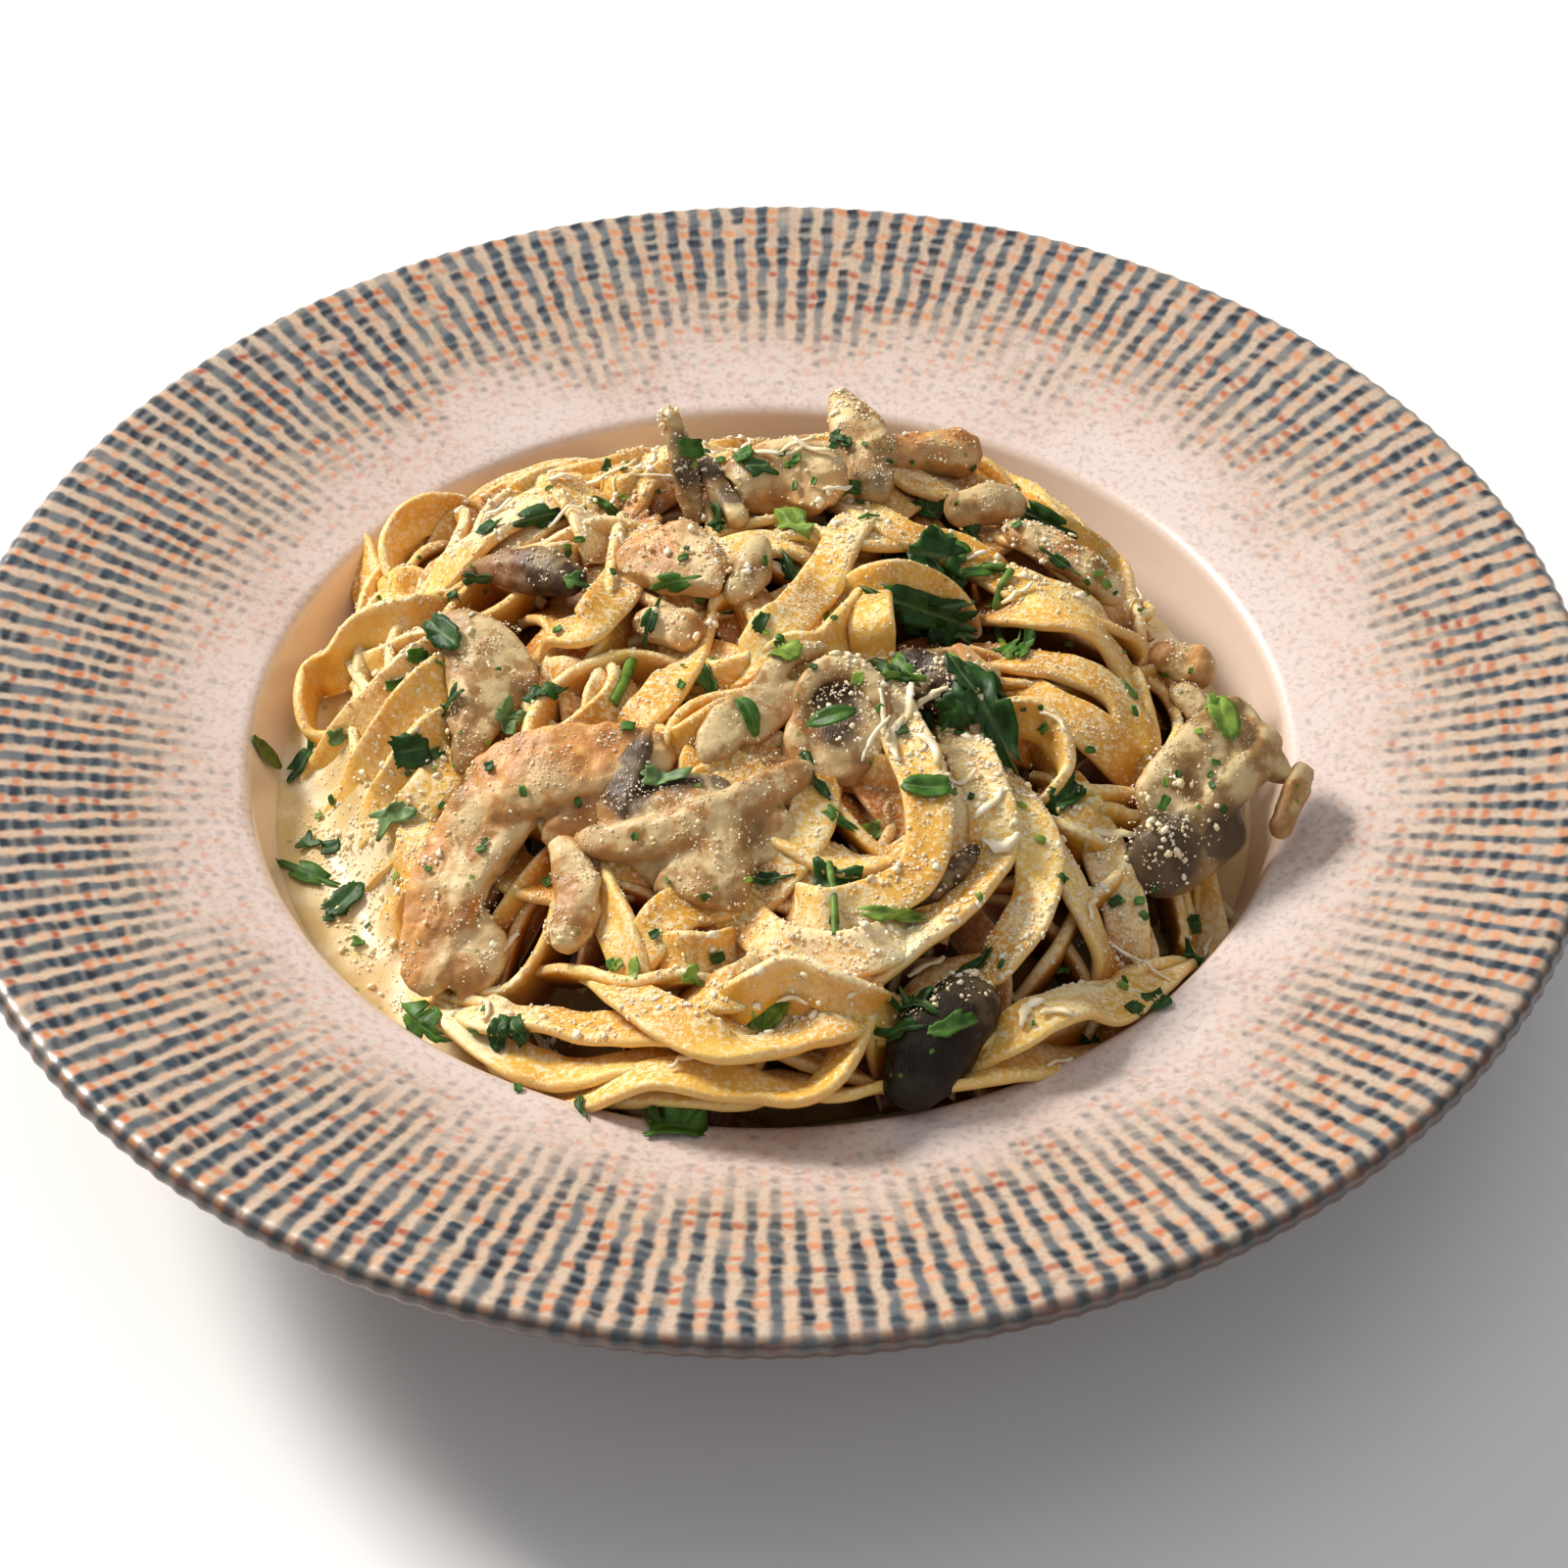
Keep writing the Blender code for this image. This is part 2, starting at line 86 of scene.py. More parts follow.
# Plate section, in mm, as the potter turned it
WELL_RADIUS = 86.0
WELL_HEIGHT = 42.0
FLOOR_RADIUS = 60.0
FLOOR_HEIGHT = 8.0
WELL_CURVE = 0.45
EDGE_RADIUS = 88.0
EDGE_HEIGHT = 39.0
EDGE_ROUND = 3.0
RIM_SLOPE = 0.21
LIP_ROUND = 2.4
RIM_ROWS = 192
RIB_START = 100.0


# ---------------------------------------------------------------- small tools

def to_linear(text):
    """A hex sRGB colour as linear RGBA, for a shader socket."""
    parts = [int(text[i:i + 2], 16) / 255 for i in (1, 3, 5)]
    return tuple(c / 12.92 if c <= 0.04045 else ((c + 0.055) / 1.055) ** 2.4 for c in parts) + (1.0,)


def new_material(name):
    """An empty node material and its tree, with the surface shader already joined to the output."""
    material = bpy.data.materials.new(name)
    material.use_nodes = True
    tree = material.node_tree
    return material, tree, tree.nodes["Principled BSDF"]


def fill(tree, node, inputs):
    """Sets or links a node's sockets. Inputs are values, sockets or nodes (their first output)."""
    for key, value in inputs.items():
        value = value.outputs[0] if isinstance(value, bpy.types.Node) else value
        if isinstance(value, bpy.types.NodeSocket):
            tree.links.new(value, node.inputs[key])
        else:
            node.inputs[key].default_value = value


def add(tree, kind, inputs=None, stops=None, **settings):
    """Adds one shader node with its settings and inputs; stops fill a ramp."""
    node = tree.nodes.new("ShaderNode" + kind)
    for name, value in settings.items():
        setattr(node, name, value)
    fill(tree, node, inputs or {})
    if stops:
        ramp = node.color_ramp
        while len(ramp.elements) < len(stops):
            ramp.elements.new(1.0)
        for element, (place, colour) in zip(ramp.elements, stops):
            element.position = place
            element.color = to_linear(colour) if isinstance(colour, str) else colour
    return node


def apart(size):
    """Scale of a pattern whose bits are so many millimetres apart."""
    return 1 / (size * MM)


def lay_over(tree, colour, hue, *masks):
    """Lays a hue over a colour, as thickly as all the masks together let it."""
    thick = masks[0]
    for mask in masks[1:]:
        thick = add(tree, "Math", {0: thick, 1: mask}, operation="MULTIPLY")
    hue = to_linear(hue) if isinstance(hue, str) else hue
    return add(tree, "Mix", {0: thick, 6: colour, 7: hue}, data_type="RGBA").outputs[2]


def tint(name):
    """A colour from the panel, as linear RGBA."""
    return tuple(getattr(bpy.context.scene.alfredo_colours, name)) + (1.0,)


def deselect():
    for obj in bpy.context.view_layer.objects:
        obj.select_set(False)


def activate(obj):
    deselect()
    obj.select_set(True)
    bpy.context.view_layer.objects.active = obj


def new_object(name, data):
    """An object in the scene that holds a mesh, a light or a camera."""
    obj = bpy.data.objects.new(name, data)
    bpy.context.scene.collection.objects.link(obj)
    return obj


def give(mesh, name, numbers):
    """Stores a number for each point under a name that a material can read."""
    attribute = mesh.attributes.new(name, "FLOAT", "POINT")
    attribute.data.foreach_set("value", np.asarray(numbers, np.float32))


def mesh_object(name, points, faces, **values):
    """A mesh object from points in mm, faces and one float attribute per keyword."""
    mesh = bpy.data.meshes.new(name)
    mesh.from_pydata((np.asarray(points) * MM).tolist(), [], faces)
    mesh.update()
    for key, numbers in values.items():
        give(mesh, key, numbers)
    mesh.polygons.foreach_set("use_smooth", np.ones(len(mesh.polygons), bool))
    return new_object(name, mesh)


def turned_out(mesh, merge=0.0):
    """Merges points closer than a distance in metres and turns every face outwards."""
    body = bmesh.new()
    body.from_mesh(mesh)
    if merge:
        bmesh.ops.remove_doubles(body, verts=body.verts, dist=merge)
    bmesh.ops.recalc_face_normals(body, faces=body.faces)
    body.to_mesh(mesh)
    body.free()


def tube_faces(base, rings, sides, flipped=False):
    """Faces between closed rings of points that follow one another from the base on."""
    faces = []
    for ring in range(rings - 1):
        near, far = base + ring * sides, base + (ring + 1) * sides
        for side in range(sides):
            after = (side + 1) % sides
            if flipped:
                faces.append((near + side, near + after, far + after, far + side))
            else:
                faces.append((near + side, far + side, far + after, near + after))
    return faces


def polar(away, turn):
    """Place in plan, so far from the middle in one direction."""
    return away * math.cos(turn), away * math.sin(turn)


def anywhere(draws, reach):
    """A random place in a circle, any spot as likely as another."""
    return polar(reach * math.sqrt(draws.random()), draws.uniform(-math.pi, math.pi))


def unit(rows):
    """Each row as a vector of length 1."""
    return rows / np.linalg.norm(rows, axis=1)[:, None]


def points_of(obj):
    """The object's vertices in mm."""
    flat = np.empty(len(obj.data.vertices) * 3, np.float32)
    obj.data.vertices.foreach_get("co", flat)
    return flat.reshape(-1, 3).astype(float) / MM


def set_points(obj, points):
    """Moves the object's vertices, in mm."""
    obj.data.vertices.foreach_set("co", (points * MM).astype(np.float32).ravel())
    obj.data.update()


def dress(obj, material, slot, *nodes):
    """Gives a finished piece its material and body, and hides the CAD nodes that it stands for. The slot is
    not used.
    """
    obj.data.materials.clear()
    obj.data.materials.append(material)
    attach(obj, "root")
    if nodes:
        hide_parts(*nodes)


def well_radius(height):
    """Inner radius of the plate's well at a height."""
    share = min(max((height - FLOOR_HEIGHT) / (WELL_HEIGHT - FLOOR_HEIGHT), 0.0), 1.0)
    return FLOOR_RADIUS + (WELL_RADIUS - FLOOR_RADIUS) * share ** WELL_CURVE


def well_height(radius):
    """Height of the plate's upper face inside the well, the other way round."""
    share = np.clip((radius - FLOOR_RADIUS) / (WELL_RADIUS - FLOOR_RADIUS), 0.0, 1.0)
    return FLOOR_HEIGHT + (WELL_HEIGHT - FLOOR_HEIGHT) * share ** (1 / WELL_CURVE)


# ---------------------------------------------------------------- numbers and tables, in mm

RIB_FACES = 4
RIB_FADE = 22.0  # from where the ribs start to where they have their full height
LIP_BAND = 2.0
LIP_SCALLOP = 0.2
DAB_PITCH = 0.0025  # metres along a row, of a dab and the gap after it

CAMERA_PLACE = (0.0025, -0.4724, 0.4841)
CAMERA_AIM = (0.0025, -0.0231, 0.052)
CAMERA_ROLL = math.radians(-0.45)

GRID_REACH = 100
STATION = 1.1
FILLERS = 105
EDGE_FILLERS = 26
HEAP_EDGE_RISE = 1.5  # how far the surface must stand over sauce and plate to count as heap
CORE_INWARD = 9.0
SIGHT_DROP = 2.0  # the level, under the heap's surface, that sighted routes are given on
CORE_DEPTH = 12.0
CLEAR_OF_TOPPING = 2.0
TUCK_LENGTH = 11.0  # the end of each ribbon that dives into the heap
TUCK_DEPTH = 6.5
TOPPING_NODES = tuple(name for name in frame["nodes"] if name.startswith(("chicken", "mushroom")))

# Where cream or grated cheese lies thick on the pasta: x, y, radius, strength
CREAMY_PLACES = (
    (-64, 6, 12, 1.0), (-62, -28, 16, 1.0), (-46, 36, 11, 0.9), (-32, 64, 12, 0.8), (-30, 26, 9, 0.8),
    (-46, -60, 12, 0.8), (26, -26, 12, 0.9), (30, -38, 10, 0.8), (46, -64, 10, 0.7), (54, -40, 10, 0.9),
    (24, -66, 12, 0.8), (4, -72, 14, 0.7), (-14, -58, 12, 0.6), (-18, -80, 10, 0.7), (12, 30, 12, 0.5),
    (56, 22, 12, 0.7), (14, -44, 8, 0.5), (50, -24, 9, 0.5),
)

# The one ribbon that lies over chicken and mushrooms, in the same numbers as the others
DRAPED = (
    (18, -12, 0, 0), (21, -22, 3, 4), (24, -31, 5, 8), (25, -40, 5, 14), (23, -48, 4, 26), (17, -53, 3, 40),
    (9, -56, 1, 48), (1, -54, -3, 48),
)

# Ribbons that show, from the lowest to the highest. Each point is x, y where it shows against the heap's
# surface, height over that surface, and tilt in degrees: 0 is flat, 90 is on edge, and more than 0 raises
# the right-hand edge.
RIBBONS = (
    # back
    ((-28, 60, -3, 40), (-18, 64, -1, 30), (-8, 68, 0, 25), (2, 68, 0, 25), (12, 63, -2, 20)),
    ((0, 62, -3, 60), (6, 69, -1, 70), (12, 67, -2, 70), (14, 60, -4, 60)),
    ((-50, 52, -4, -60), (-41, 57, -2, -60), (-32, 60, -1, -60), (-24, 61, -2, -50), (-16, 58, -4, -40)),
    ((-42, 62, -2, 0), (-36, 66, 1, -5), (-28, 70, 2, -5), (-20, 72, 1, 0), (-12, 70, -1, 0)),
    ((-34, 46, -4, -60), (-28, 45, -3, -60), (-22, 43, -3, -60), (-16, 42, -4, -60)),
    ((-20, 73, -2, 0), (-21, 63, 1, 10), (-22, 52, 2, 15), (-23, 41, 1, 15), (-26, 30, -2, 10)),
    ((8, 48, -3, 10), (16, 46, 0, 20), (24, 45, 1, 20), (32, 42, -1, 10), (40, 36, -3, 0)),
    ((-14, 24, -3, 20), (-7, 27, 0, 30), (0, 31, 0, 30), (7, 33, -2, 20)),
    # back left
    ((-77, 31, -3, 10), (-70, 31, -2, 10), (-63, 29, -2, 10), (-56, 27, -3, 10)),
    ((-73, 52, -4, -40), (-69, 45, -2, -42), (-63, 36, -1, -42), (-58, 27, -2, -40), (-54, 19, -4, -30)),
    ((-62, 46, -4, -20), (-58, 52, -3, -20), (-53, 55, -3, -20), (-47, 55, -4, -20)),
    ((-54, 65, -1, -60), (-48, 62, 0, -60), (-45, 55, 0, -55), (-46, 47, -2, -50)),
    ((-55, 40, -3, -55), (-62, 45, 1, -60), (-66, 52, 4, -62), (-62, 60, 5, -64), (-54, 64, 5, -64),
     (-47, 62, 4, -62), (-41, 57, 2, -55), (-34, 54, -2, -50)),
    ((-46, 44, -2, 10), (-39, 50, 0, 10), (-31, 54, 0, 10), (-24, 58, -2, 10)),
    ((-58, 16, -4, 10), (-50, 27, -1, 15), (-42, 34, 0, 20), (-33, 39, -1, 20), (-24, 43, -3, 20)),
    ((-60, 18, -3, 5), (-56, 28, 1, 5), (-50, 36, 3, 8), (-42, 43, 3, 8), (-34, 47, 2, 5), (-26, 51, 0, 5)),
    ((-35, 54, -2, 0), (-33, 45, 1, 10), (-31, 36, 3, 15), (-29, 27, 3, 20), (-27, 18, 0, 30)),
    ((-49, 6, -4, -60), (-47, 14, -1, -68), (-42, 19, 1, -70), (-35, 21, 0, -66), (-29, 18, -3, -60)),
    # left
    ((-54, 17, -8, 60), (-62, 17, -8, 65), (-68, 14, -8, 70), (-71, 8, -8, 70), (-70, 2, -8, 70)),
    ((-50, 13, -3, 40), (-57, 19, 0, 55), (-64, 24, 2, 62), (-70.5, 27, 4, 66), (-75.5, 27.5, 5, 68),
     (-78.5, 24, 5, 70), (-79, 18, 4, 70), (-77, 12, 3, 66), (-73, 8, 1, 55), (-67, 4, -2, 40)),
    ((-44, -2, -4, 30), (-51, 2, -1, 45), (-57, 5, 1, 55), (-63, 6, 1, 60), (-68, 5, 1, 62),
     (-72, 2, 1, 62), (-74.5, -3, -1, 55), (-74, -9, -3, 45)),
    ((-42, -1, -3, 40), (-48, 0, 0, 42), (-54, 0, 1, 45), (-60, -2, 1, 45), (-66, -6, 0, 42),
     (-71, -12, -1, 35), (-74, -20, -3, 25)),
    ((-42, -12, -4, 50), (-48, -11, -1, 52), (-54, -11, 0, 52), (-60, -13, 0, 50), (-66, -17, -1, 42),
     (-71, -24, -2, 35), (-72, -32, -4, 30)),
    ((-46, -15, -4, 10), (-53, -18, -1, 10), (-60, -21, 0, 8), (-66, -25, -1, 5), (-70, -32, -2, 0)),
    ((-54, -17, -3, -10), (-57, -25, 0, -10), (-60, -34, 0, -10), (-60, -43, -1, -10), (-56, -51, -3, -10)),
    # middle left, below the trumpet mushroom
    ((-23, 28, -3, 60), (-24, 17, -1, 62), (-25, 6, -1, 62), (-27, -4, -2, 60), (-31, -12, -4, 55)),
    ((-44, -3, -3, -35), (-37, -4, -1, -42), (-30, -7, -1, -42), (-25, -14, -3, -35)),
    ((-47, -3, -3, 5), (-41, -1, 0, 8), (-35, 1, 2, 10), (-29, 5, 3, 12), (-25, 12, 3, 12),
     (-22, 20, 1, 12), (-21, 29, -2, 10)),
    ((-31, -8, -4, 40), (-30, -16, -2, 40), (-29, -24, -4, 40)),
    ((-25, -4, -4, 50), (-26, -12, -1, 50), (-27, -20, -1, 50), (-28, -28, -4, 50)),
    # middle
    ((-16, -7, -5, -50), (-9, -9, -4, -55), (-2, -8, -4, -55), (5, -4, -5, -50)),
    ((-24, -24, -3, -50), (-18, -21, 0, -58), (-12, -20, 1, -62), (-6, -19, 2, -62), (0, -15, 2, -58),
     (5, -9, 0, -50), (10, -2, -3, -40)),
    ((18, 16, -2, 55), (14, 6, 0, 58), (8, -2, 1, 60), (2, -9, 0, 60), (-5, -15, -3, 55)),
    ((26, 40, -3, 10), (20, 36, 1, 10), (15, 30, 3, 12), (11, 21, 4, 14), (7, 11, 4, 16), (2, 2, 4, 16),
     (-3, -6, 2, 14), (-8, -13, -2, 10)),
    ((-26, -28, -2, 10), (-22, -19, 1, 10), (-18, -12, 3, 10), (-14, -4, 4, 12), (-10, 3, 5, 25),
     (-6, 8, 6, 70), (-3, 5, 5, 105), (-2, -1, 3, 115), (-2, -8, -1, 115)),
    ((4, 24, -4, 30), (14, 26, -1, 30), (22, 25, 0, 30), (30, 21, -2, 20)),
    ((10, 34, -3, 10), (17, 32, 0, 10), (25, 29, 1, 5), (33, 25, 1, 0), (41, 19, 0, -5), (47, 11, -3, -10)),
    ((17, 19, -2, 0), (17, 9, 2, 0), (17, 0, 4, -4), (17, -9, 5, -4), (19, -18, 4, -4), (22, -27, 1, 0)),
    ((11, 1, -3, -55), (13, 9, 1, -60), (17, 15, 3, -62), (22, 17, 4, -62), (27, 14, 3, -62),
     (31, 8, 1, -62), (32, 1, -3, -60)),
    # right back
    ((38, 36, -4, -30), (46, 41, -1, -55), (53, 46, 1, -68), (60, 48, 1, -72), (64, 43, 1, -74),
     (64, 34, 0, -74), (63, 25, 0, -72), (60, 16, -3, -60)),
    ((44, 37, -3, -30), (52, 38, -1, -50), (57, 34, -1, -60), (57, 26, -2, -60)),
    ((36, 36, -3, 20), (44, 32, 0, 20), (51, 27, 1, 15), (57, 21, 0, 10), (61, 13, -3, 0)),
    # right
    ((52, -26, -5, -50), (60, -21, -3, -58), (66, -13, -1, -62), (68, -3, 0, -62), (66, 6, 1, -56),
     (61, 13, 2, -42), (53, 17, 3, -25), (44, 18, 2, -15), (34, 21, 0, 0)),
    ((62, -8, -4, -45), (60, 1, 0, -30), (53, 8, 2, -20), (44, 10, 2, -15), (35, 10, -2, -10)),
    ((50, -25, -4, -50), (56, -19, -1, -45), (59, -11, 1, -38), (57, -4, 2, -26), (50, 0, 3, -12),
     (42, 0, 2, -8), (33, -3, -1, 0)),
    ((36, -8, -2, 0), (44, -10, 1, -5), (52, -13, 2, -12), (58, -19, 1, -25), (61, -27, -3, -40)),
    ((40, -36, -3, 84), (48, -35, -1, 84), (56, -33, -1, 84), (64, -30, -3, 84)),
    ((42, -32, -3, 84), (50, -31, -1, 84), (58, -29, -1, 84), (65, -26, -3, 84)),
    ((42, -28, -3, 84), (50, -28, -1, 84), (58, -26, -1, 84), (64, -22, -3, 84)),
    ((38, -31, -4, -60), (38, -24, -2, -64), (42, -20, -1, -66), (44, -25, -2, -66), (42, -32, -4, -60)),
    ((31, -32, -3, -66), (32, -23, 0, -70), (37, -16, 1, -74), (44, -15, 2, -74), (47, -21, 1, -72),
     (45, -29, 0, -70), (40, -36, -3, -66)),
    ((46, -26, -3, 0), (52, -33, 0, 5), (55, -41, 1, 10), (56, -49, 0, 10), (55, -58, -3, 10)),
    # front right
    ((34, -24, -2, 15), (40, -31, 1, 22), (45, -39, 2, 35), (49, -47, 2, 42), (52, -55, 0, 45),
     (52, -63, -3, 40)),
    ((-30, -74, -5, 0), (-18, -78, -3.5, 18), (-4, -80.5, -3, 24), (12, -81, -3, 26), (27, -78, -3, 22),
     (40, -72, -3.5, 16), (51, -64, -5, 5)),
    ((26, -78, -3, 0), (35, -72, 1, 5), (44, -66, 2, 8), (52, -59, 2, 10), (59, -51, 1, 10),
     (66, -43, -2, 10)),
    ((8, -76, -3, 8), (16, -71, 0, 10), (25, -67, 2, 12), (33, -61, 3, 14), (39, -54, 3, 16),
     (42, -45, 3, 16), (41, -36, 1, 10), (37, -27, -2, 0)),
    ((2, -72, -3, 5), (12, -67, 0, 8), (21, -61, 2, 10), (29, -54, 3, 12), (34, -45, 4, 14),
     (35, -35, 3, 12), (32, -25, 1, 5), (28, -17, -2, 0)),
    ((-4, -40, -6, 20), (5, -45, -5, 30), (13, -48, -4, 35), (20, -45, -5, 30), (26, -38, -7, 20)),
    # front left
    ((-28, -42, -4, -58), (-25, -50, 0, -60), (-22, -58, 1, -60), (-20, -66, 0, -58), (-18, -74, -3, -50)),
    ((-21, -63, -3, -60), (-15, -62, -1, -62), (-8, -62, -1, -62), (-1, -60, -3, -60)),
    ((-22, -66, -3, -40), (-19, -59, 1, -32), (-14, -54, 2, -28), (-8, -51, 2, -25), (-1, -50, 0, -20),
     (6, -49, -3, -10)),
    ((-17, -70, -3, -30), (-10, -68, -1, -32), (-3, -66, -1, -32), (4, -63, -3, -30)),
    ((-54, -50, -3, 10), (-46, -59, -1, 15), (-38, -66, 0, 20), (-29, -71, 0, 22), (-20, -74, 0, 20),
     (-10, -76, -2, 15)),
    ((-50, -54, -4, 10), (-43, -59, 0, 18), (-35, -63, 1, 22), (-27, -67, 1, 20), (-18, -70, 1, 12),
     (-9, -72, 0, 5), (0, -71, -3, 0)),
    ((-36, -70, -3, 5), (-28, -74, 0, 8), (-20, -76, 1, 12), (-11, -78, 1, 18), (-2, -80, 1, 26),
     (6, -81, 1, 34), (12, -78, 0, 48), (15, -74, 0, 62), (11, -71, -1, 68), (3, -71, -2, 66),
     (-5, -73, -4, 60)),
    ((-26, -61, -3, 0), (-20, -66, 0, -5), (-14, -71, 2, -8), (-6, -75, 3, -8), (2, -75, 3, -8),
     (10, -73, 3, -5), (16, -75, 1, 0), (20, -81, -3, 0)),
    ((-9, -78, -4, -50), (-8, -72, 0, -60), (-3, -68, 2, -70), (4, -66, 3, -74), (11, -68, 2, -72),
     (18, -71, 0, -64), (24, -72, -3, -50)),
    # front middle bowl-like curve
    ((-8, -42, -4, -40), (-7, -51, -1, -45), (-2, -58, 1, -45), (7, -62, 2, -42), (16, -61, 3, -38),
     (23, -56, 3, -34), (28, -48, 3, -28), (30, -38, 2, -20), (29, -28, 0, -10)),
    DRAPED,
)

# Chopped parsley, as it lies: kind, tone, x, y, heading in degrees (0 along +X), length and width. A leaf
# has lobes, a blade is one narrow leaflet, an oval or a chip is a cut bit.
# The dark tone is the deep green of the leaf and, on bits that lie in the shade of the food around them,
# painted shade as well; the grey tone is the pale underside and, on some bits, a painted sheen.
PARSLEY = (
    ("chip", "mid", -14, 82, 10, 5, 3), ("leaf", "dark", -2, 81, 5, 10, 5),
    ("chip", "dark", 14, 67, 0, 2, 2), ("leaf", "dark", 12, 51, -30, 6, 3),
    ("chip", "mid", -4, 51, 20, 3.5, 2.5), ("chip", "mid", -8, 45, 0, 2, 1.5),
    ("blade", "mid", -27, 37, -10, 8, 3), ("chip", "dark", -8, 28, 40, 4.5, 3.5),
    ("leaf", "light", 4, 26, -15, 13, 8), ("blade", "dark", 4, 13, -70, 10, 2.5),
    ("chip", "mid", 15, 37, 0, 3, 2.5), ("blade", "mid", 17, 29, 35, 5, 1.2),
    ("blade", "mid", -15, 12, 8, 10, 3.5), ("blade", "dark", -19, 4, 70, 9, 2.5),
    ("blade", "mid", -9, -11, 82, 10, 3), ("chip", "light", 3, -6, -30, 4.5, 4),
    ("chip", "dark", -1, 2, 60, 3.5, 2), ("chip", "mid", -22, -21, 0, 2.5, 2),
    ("oval", "mid", -3, -21, -60, 7, 3), ("oval", "mid", 10, -23, 10, 8, 3),
    ("blade", "dark", 25, 21, -38, 15, 4), ("blade", "dark", 24, 9, -35, 19, 6),
    ("leaf", "dark", 29, 5, -15, 13, 8), ("blade", "dark", 21, -9, -42, 12, 3),
    ("blade", "dark", 19, -10.5, -8, 11, 2.5), ("blade", "mid", 22, -7, -60, 8, 3),
    ("leaf", "mid", 30, 24, -85, 13, 7), ("blade", "dark", 34, 30, -55, 7, 3),
    ("leaf", "dark", 27, 34, -35, 10, 6), ("blade", "mid", 36, 18, 12, 13, 3),
    ("leaf", "grey", 31, 2, -50, 7, 4), ("blade", "mid", 42, 1, 72, 10, 3),
    ("blade", "dark", 47, 42, -42, 14, 5), ("blade", "dark", 49, 25, -50, 9, 2),
    ("blade", "dark", 35, -9, -42, 10, 3.5), ("blade", "dark", 35, -17, -72, 21, 8),
    ("blade", "dark", 31, -8, -60, 9, 4), ("chip", "dark", 30, -16, 15, 6.5, 5.5),
    ("blade", "dark", 26, -21, -76, 10, 1.6), ("chip", "dark", 21, -25, 0, 2.2, 2),
    ("blade", "mid", 59, -2, -65, 5, 2.2), ("oval", "light", 77, 15, -72, 9, 5),
    ("oval", "mid", 25, -35, -4, 8.5, 4), ("chip", "dark", 47, -30, 40, 6, 4.5),
    ("chip", "mid", 63, -25, 70, 2.5, 1.5), ("blade", "light", 19, -57.5, -8, 12, 2.8),
    ("blade", "dark", 32, -63, 42, 13, 2.6), ("leaf", "dark", 22, -70, -40, 11, 7),
    ("leaf", "mid", 26, -73, 15, 11, 6), ("blade", "dark", 20, -74, 5, 8, 3),
    ("chip", "dark", 68, -37, 10, 4, 3), ("leaf", "dark", 67, -43, 30, 7, 4),
    ("chip", "dark", 61, -55, 20, 4, 3), ("chip", "dark", 57, -56, 50, 2.6, 2),
    ("leaf", "grey", -17, -32, -8, 11, 7), ("blade", "dark", 7, -36, -58, 11, 2.4),
    ("blade", "mid", 11, -42, -48, 9, 2.2), ("oval", "light", 15.5, -44, 15, 5, 3),
    ("blade", "dark", 0, -52, 4, 9, 2.2), ("leaf", "dark", 9, -53, 32, 12, 8),
    ("blade", "dark", 10, -60, -88, 6, 1.8), ("chip", "light", -20, -63, 78, 4, 2),
    ("leaf", "light", -12, -66, 12, 6, 3.5), ("chip", "dark", -8, -63.5, 20, 3, 1.8),
    ("oval", "dark", -53, 7, -52, 9, 5), ("chip", "mid", -58, 6, 20, 3.5, 2.5),
    ("chip", "mid", -61, 4, 0, 3.5, 2), ("chip", "mid", -56, 3, 60, 2, 2),
    ("blade", "dark", -78, 5, 55, 9, 4), ("leaf", "grey", -72, 5, 20, 8, 4),
    ("oval", "olive", -84, 1, -2, 9, 3.5), ("chip", "dark", -58, -11, 20, 6, 5.5),
    ("leaf", "dark", -51, -8, 32, 8, 3), ("leaf", "grey", -61, -18, 32, 15, 6),
    ("leaf", "mid", -55, -15, 20, 7, 4), ("leaf", "dark", -76, -14, -50, 7, 4),
    ("chip", "dark", -72, -16, 0, 3.2, 2.8), ("blade", "mid", -75, -21, -28, 13, 4),
    ("chip", "dark", -69, -27, 50, 7, 4), ("leaf", "mid", -66, -36, 0, 5, 3),
    ("chip", "dark", -71, -31, 0, 2, 1), ("leaf", "grey", -42, -14, -20, 9, 7),
    ("leaf", "dark", -36, -10, 30, 10, 6), ("chip", "dark", -47, 37, 60, 4, 3.5),
    ("blade", "dark", -38, 36, 22, 11, 4), ("chip", "dark", -52, 17, 0, 2, 2),
    ("blade", "dark", -48, 20, 24, 9, 2.8), ("leaf", "mid", -32, 13, -20, 7, 4),
    ("blade", "mid", -53, -55, -36, 12, 4.2), ("chip", "dark", -42, -62, 70, 5, 3),
    ("chip", "dark", -39, -63, -60, 5, 3.5), ("chip", "mid", -46, -60, 20, 2, 1.4),
    ("blade", "dark", -29, -75, -70, 7, 1.8), ("chip", "mid", -14, -86, -5, 9, 5),
    ("oval", "light", 0, -71, 70, 9, 4.5), ("chip", "dark", 49, -66, 20, 3, 2),
    ("chip", "dark", 16, -85, 10, 4, 2), ("chip", "mid", 44, -18, 30, 2, 1.4),
    ("chip", "mid", -34, 3, 0, 1.6, 1.6), ("chip", "dark", -44, -23, 0, 1.6, 1.6),
    ("chip", "dark", 54, -45, 30, 2.4, 1.4), ("chip", "mid", 5, 44, 0, 1.6, 1.4),
    ("leaf", "dark", 26, 22, -20, 14, 9), ("leaf", "dark", 31, 17, -40, 13, 8),
    ("leaf", "dark", 24, 6, -25, 12, 7), ("leaf", "dark", 29, 9, 15, 12, 7),
    ("leaf", "mid", 39, -1, 60, 9, 5),
)

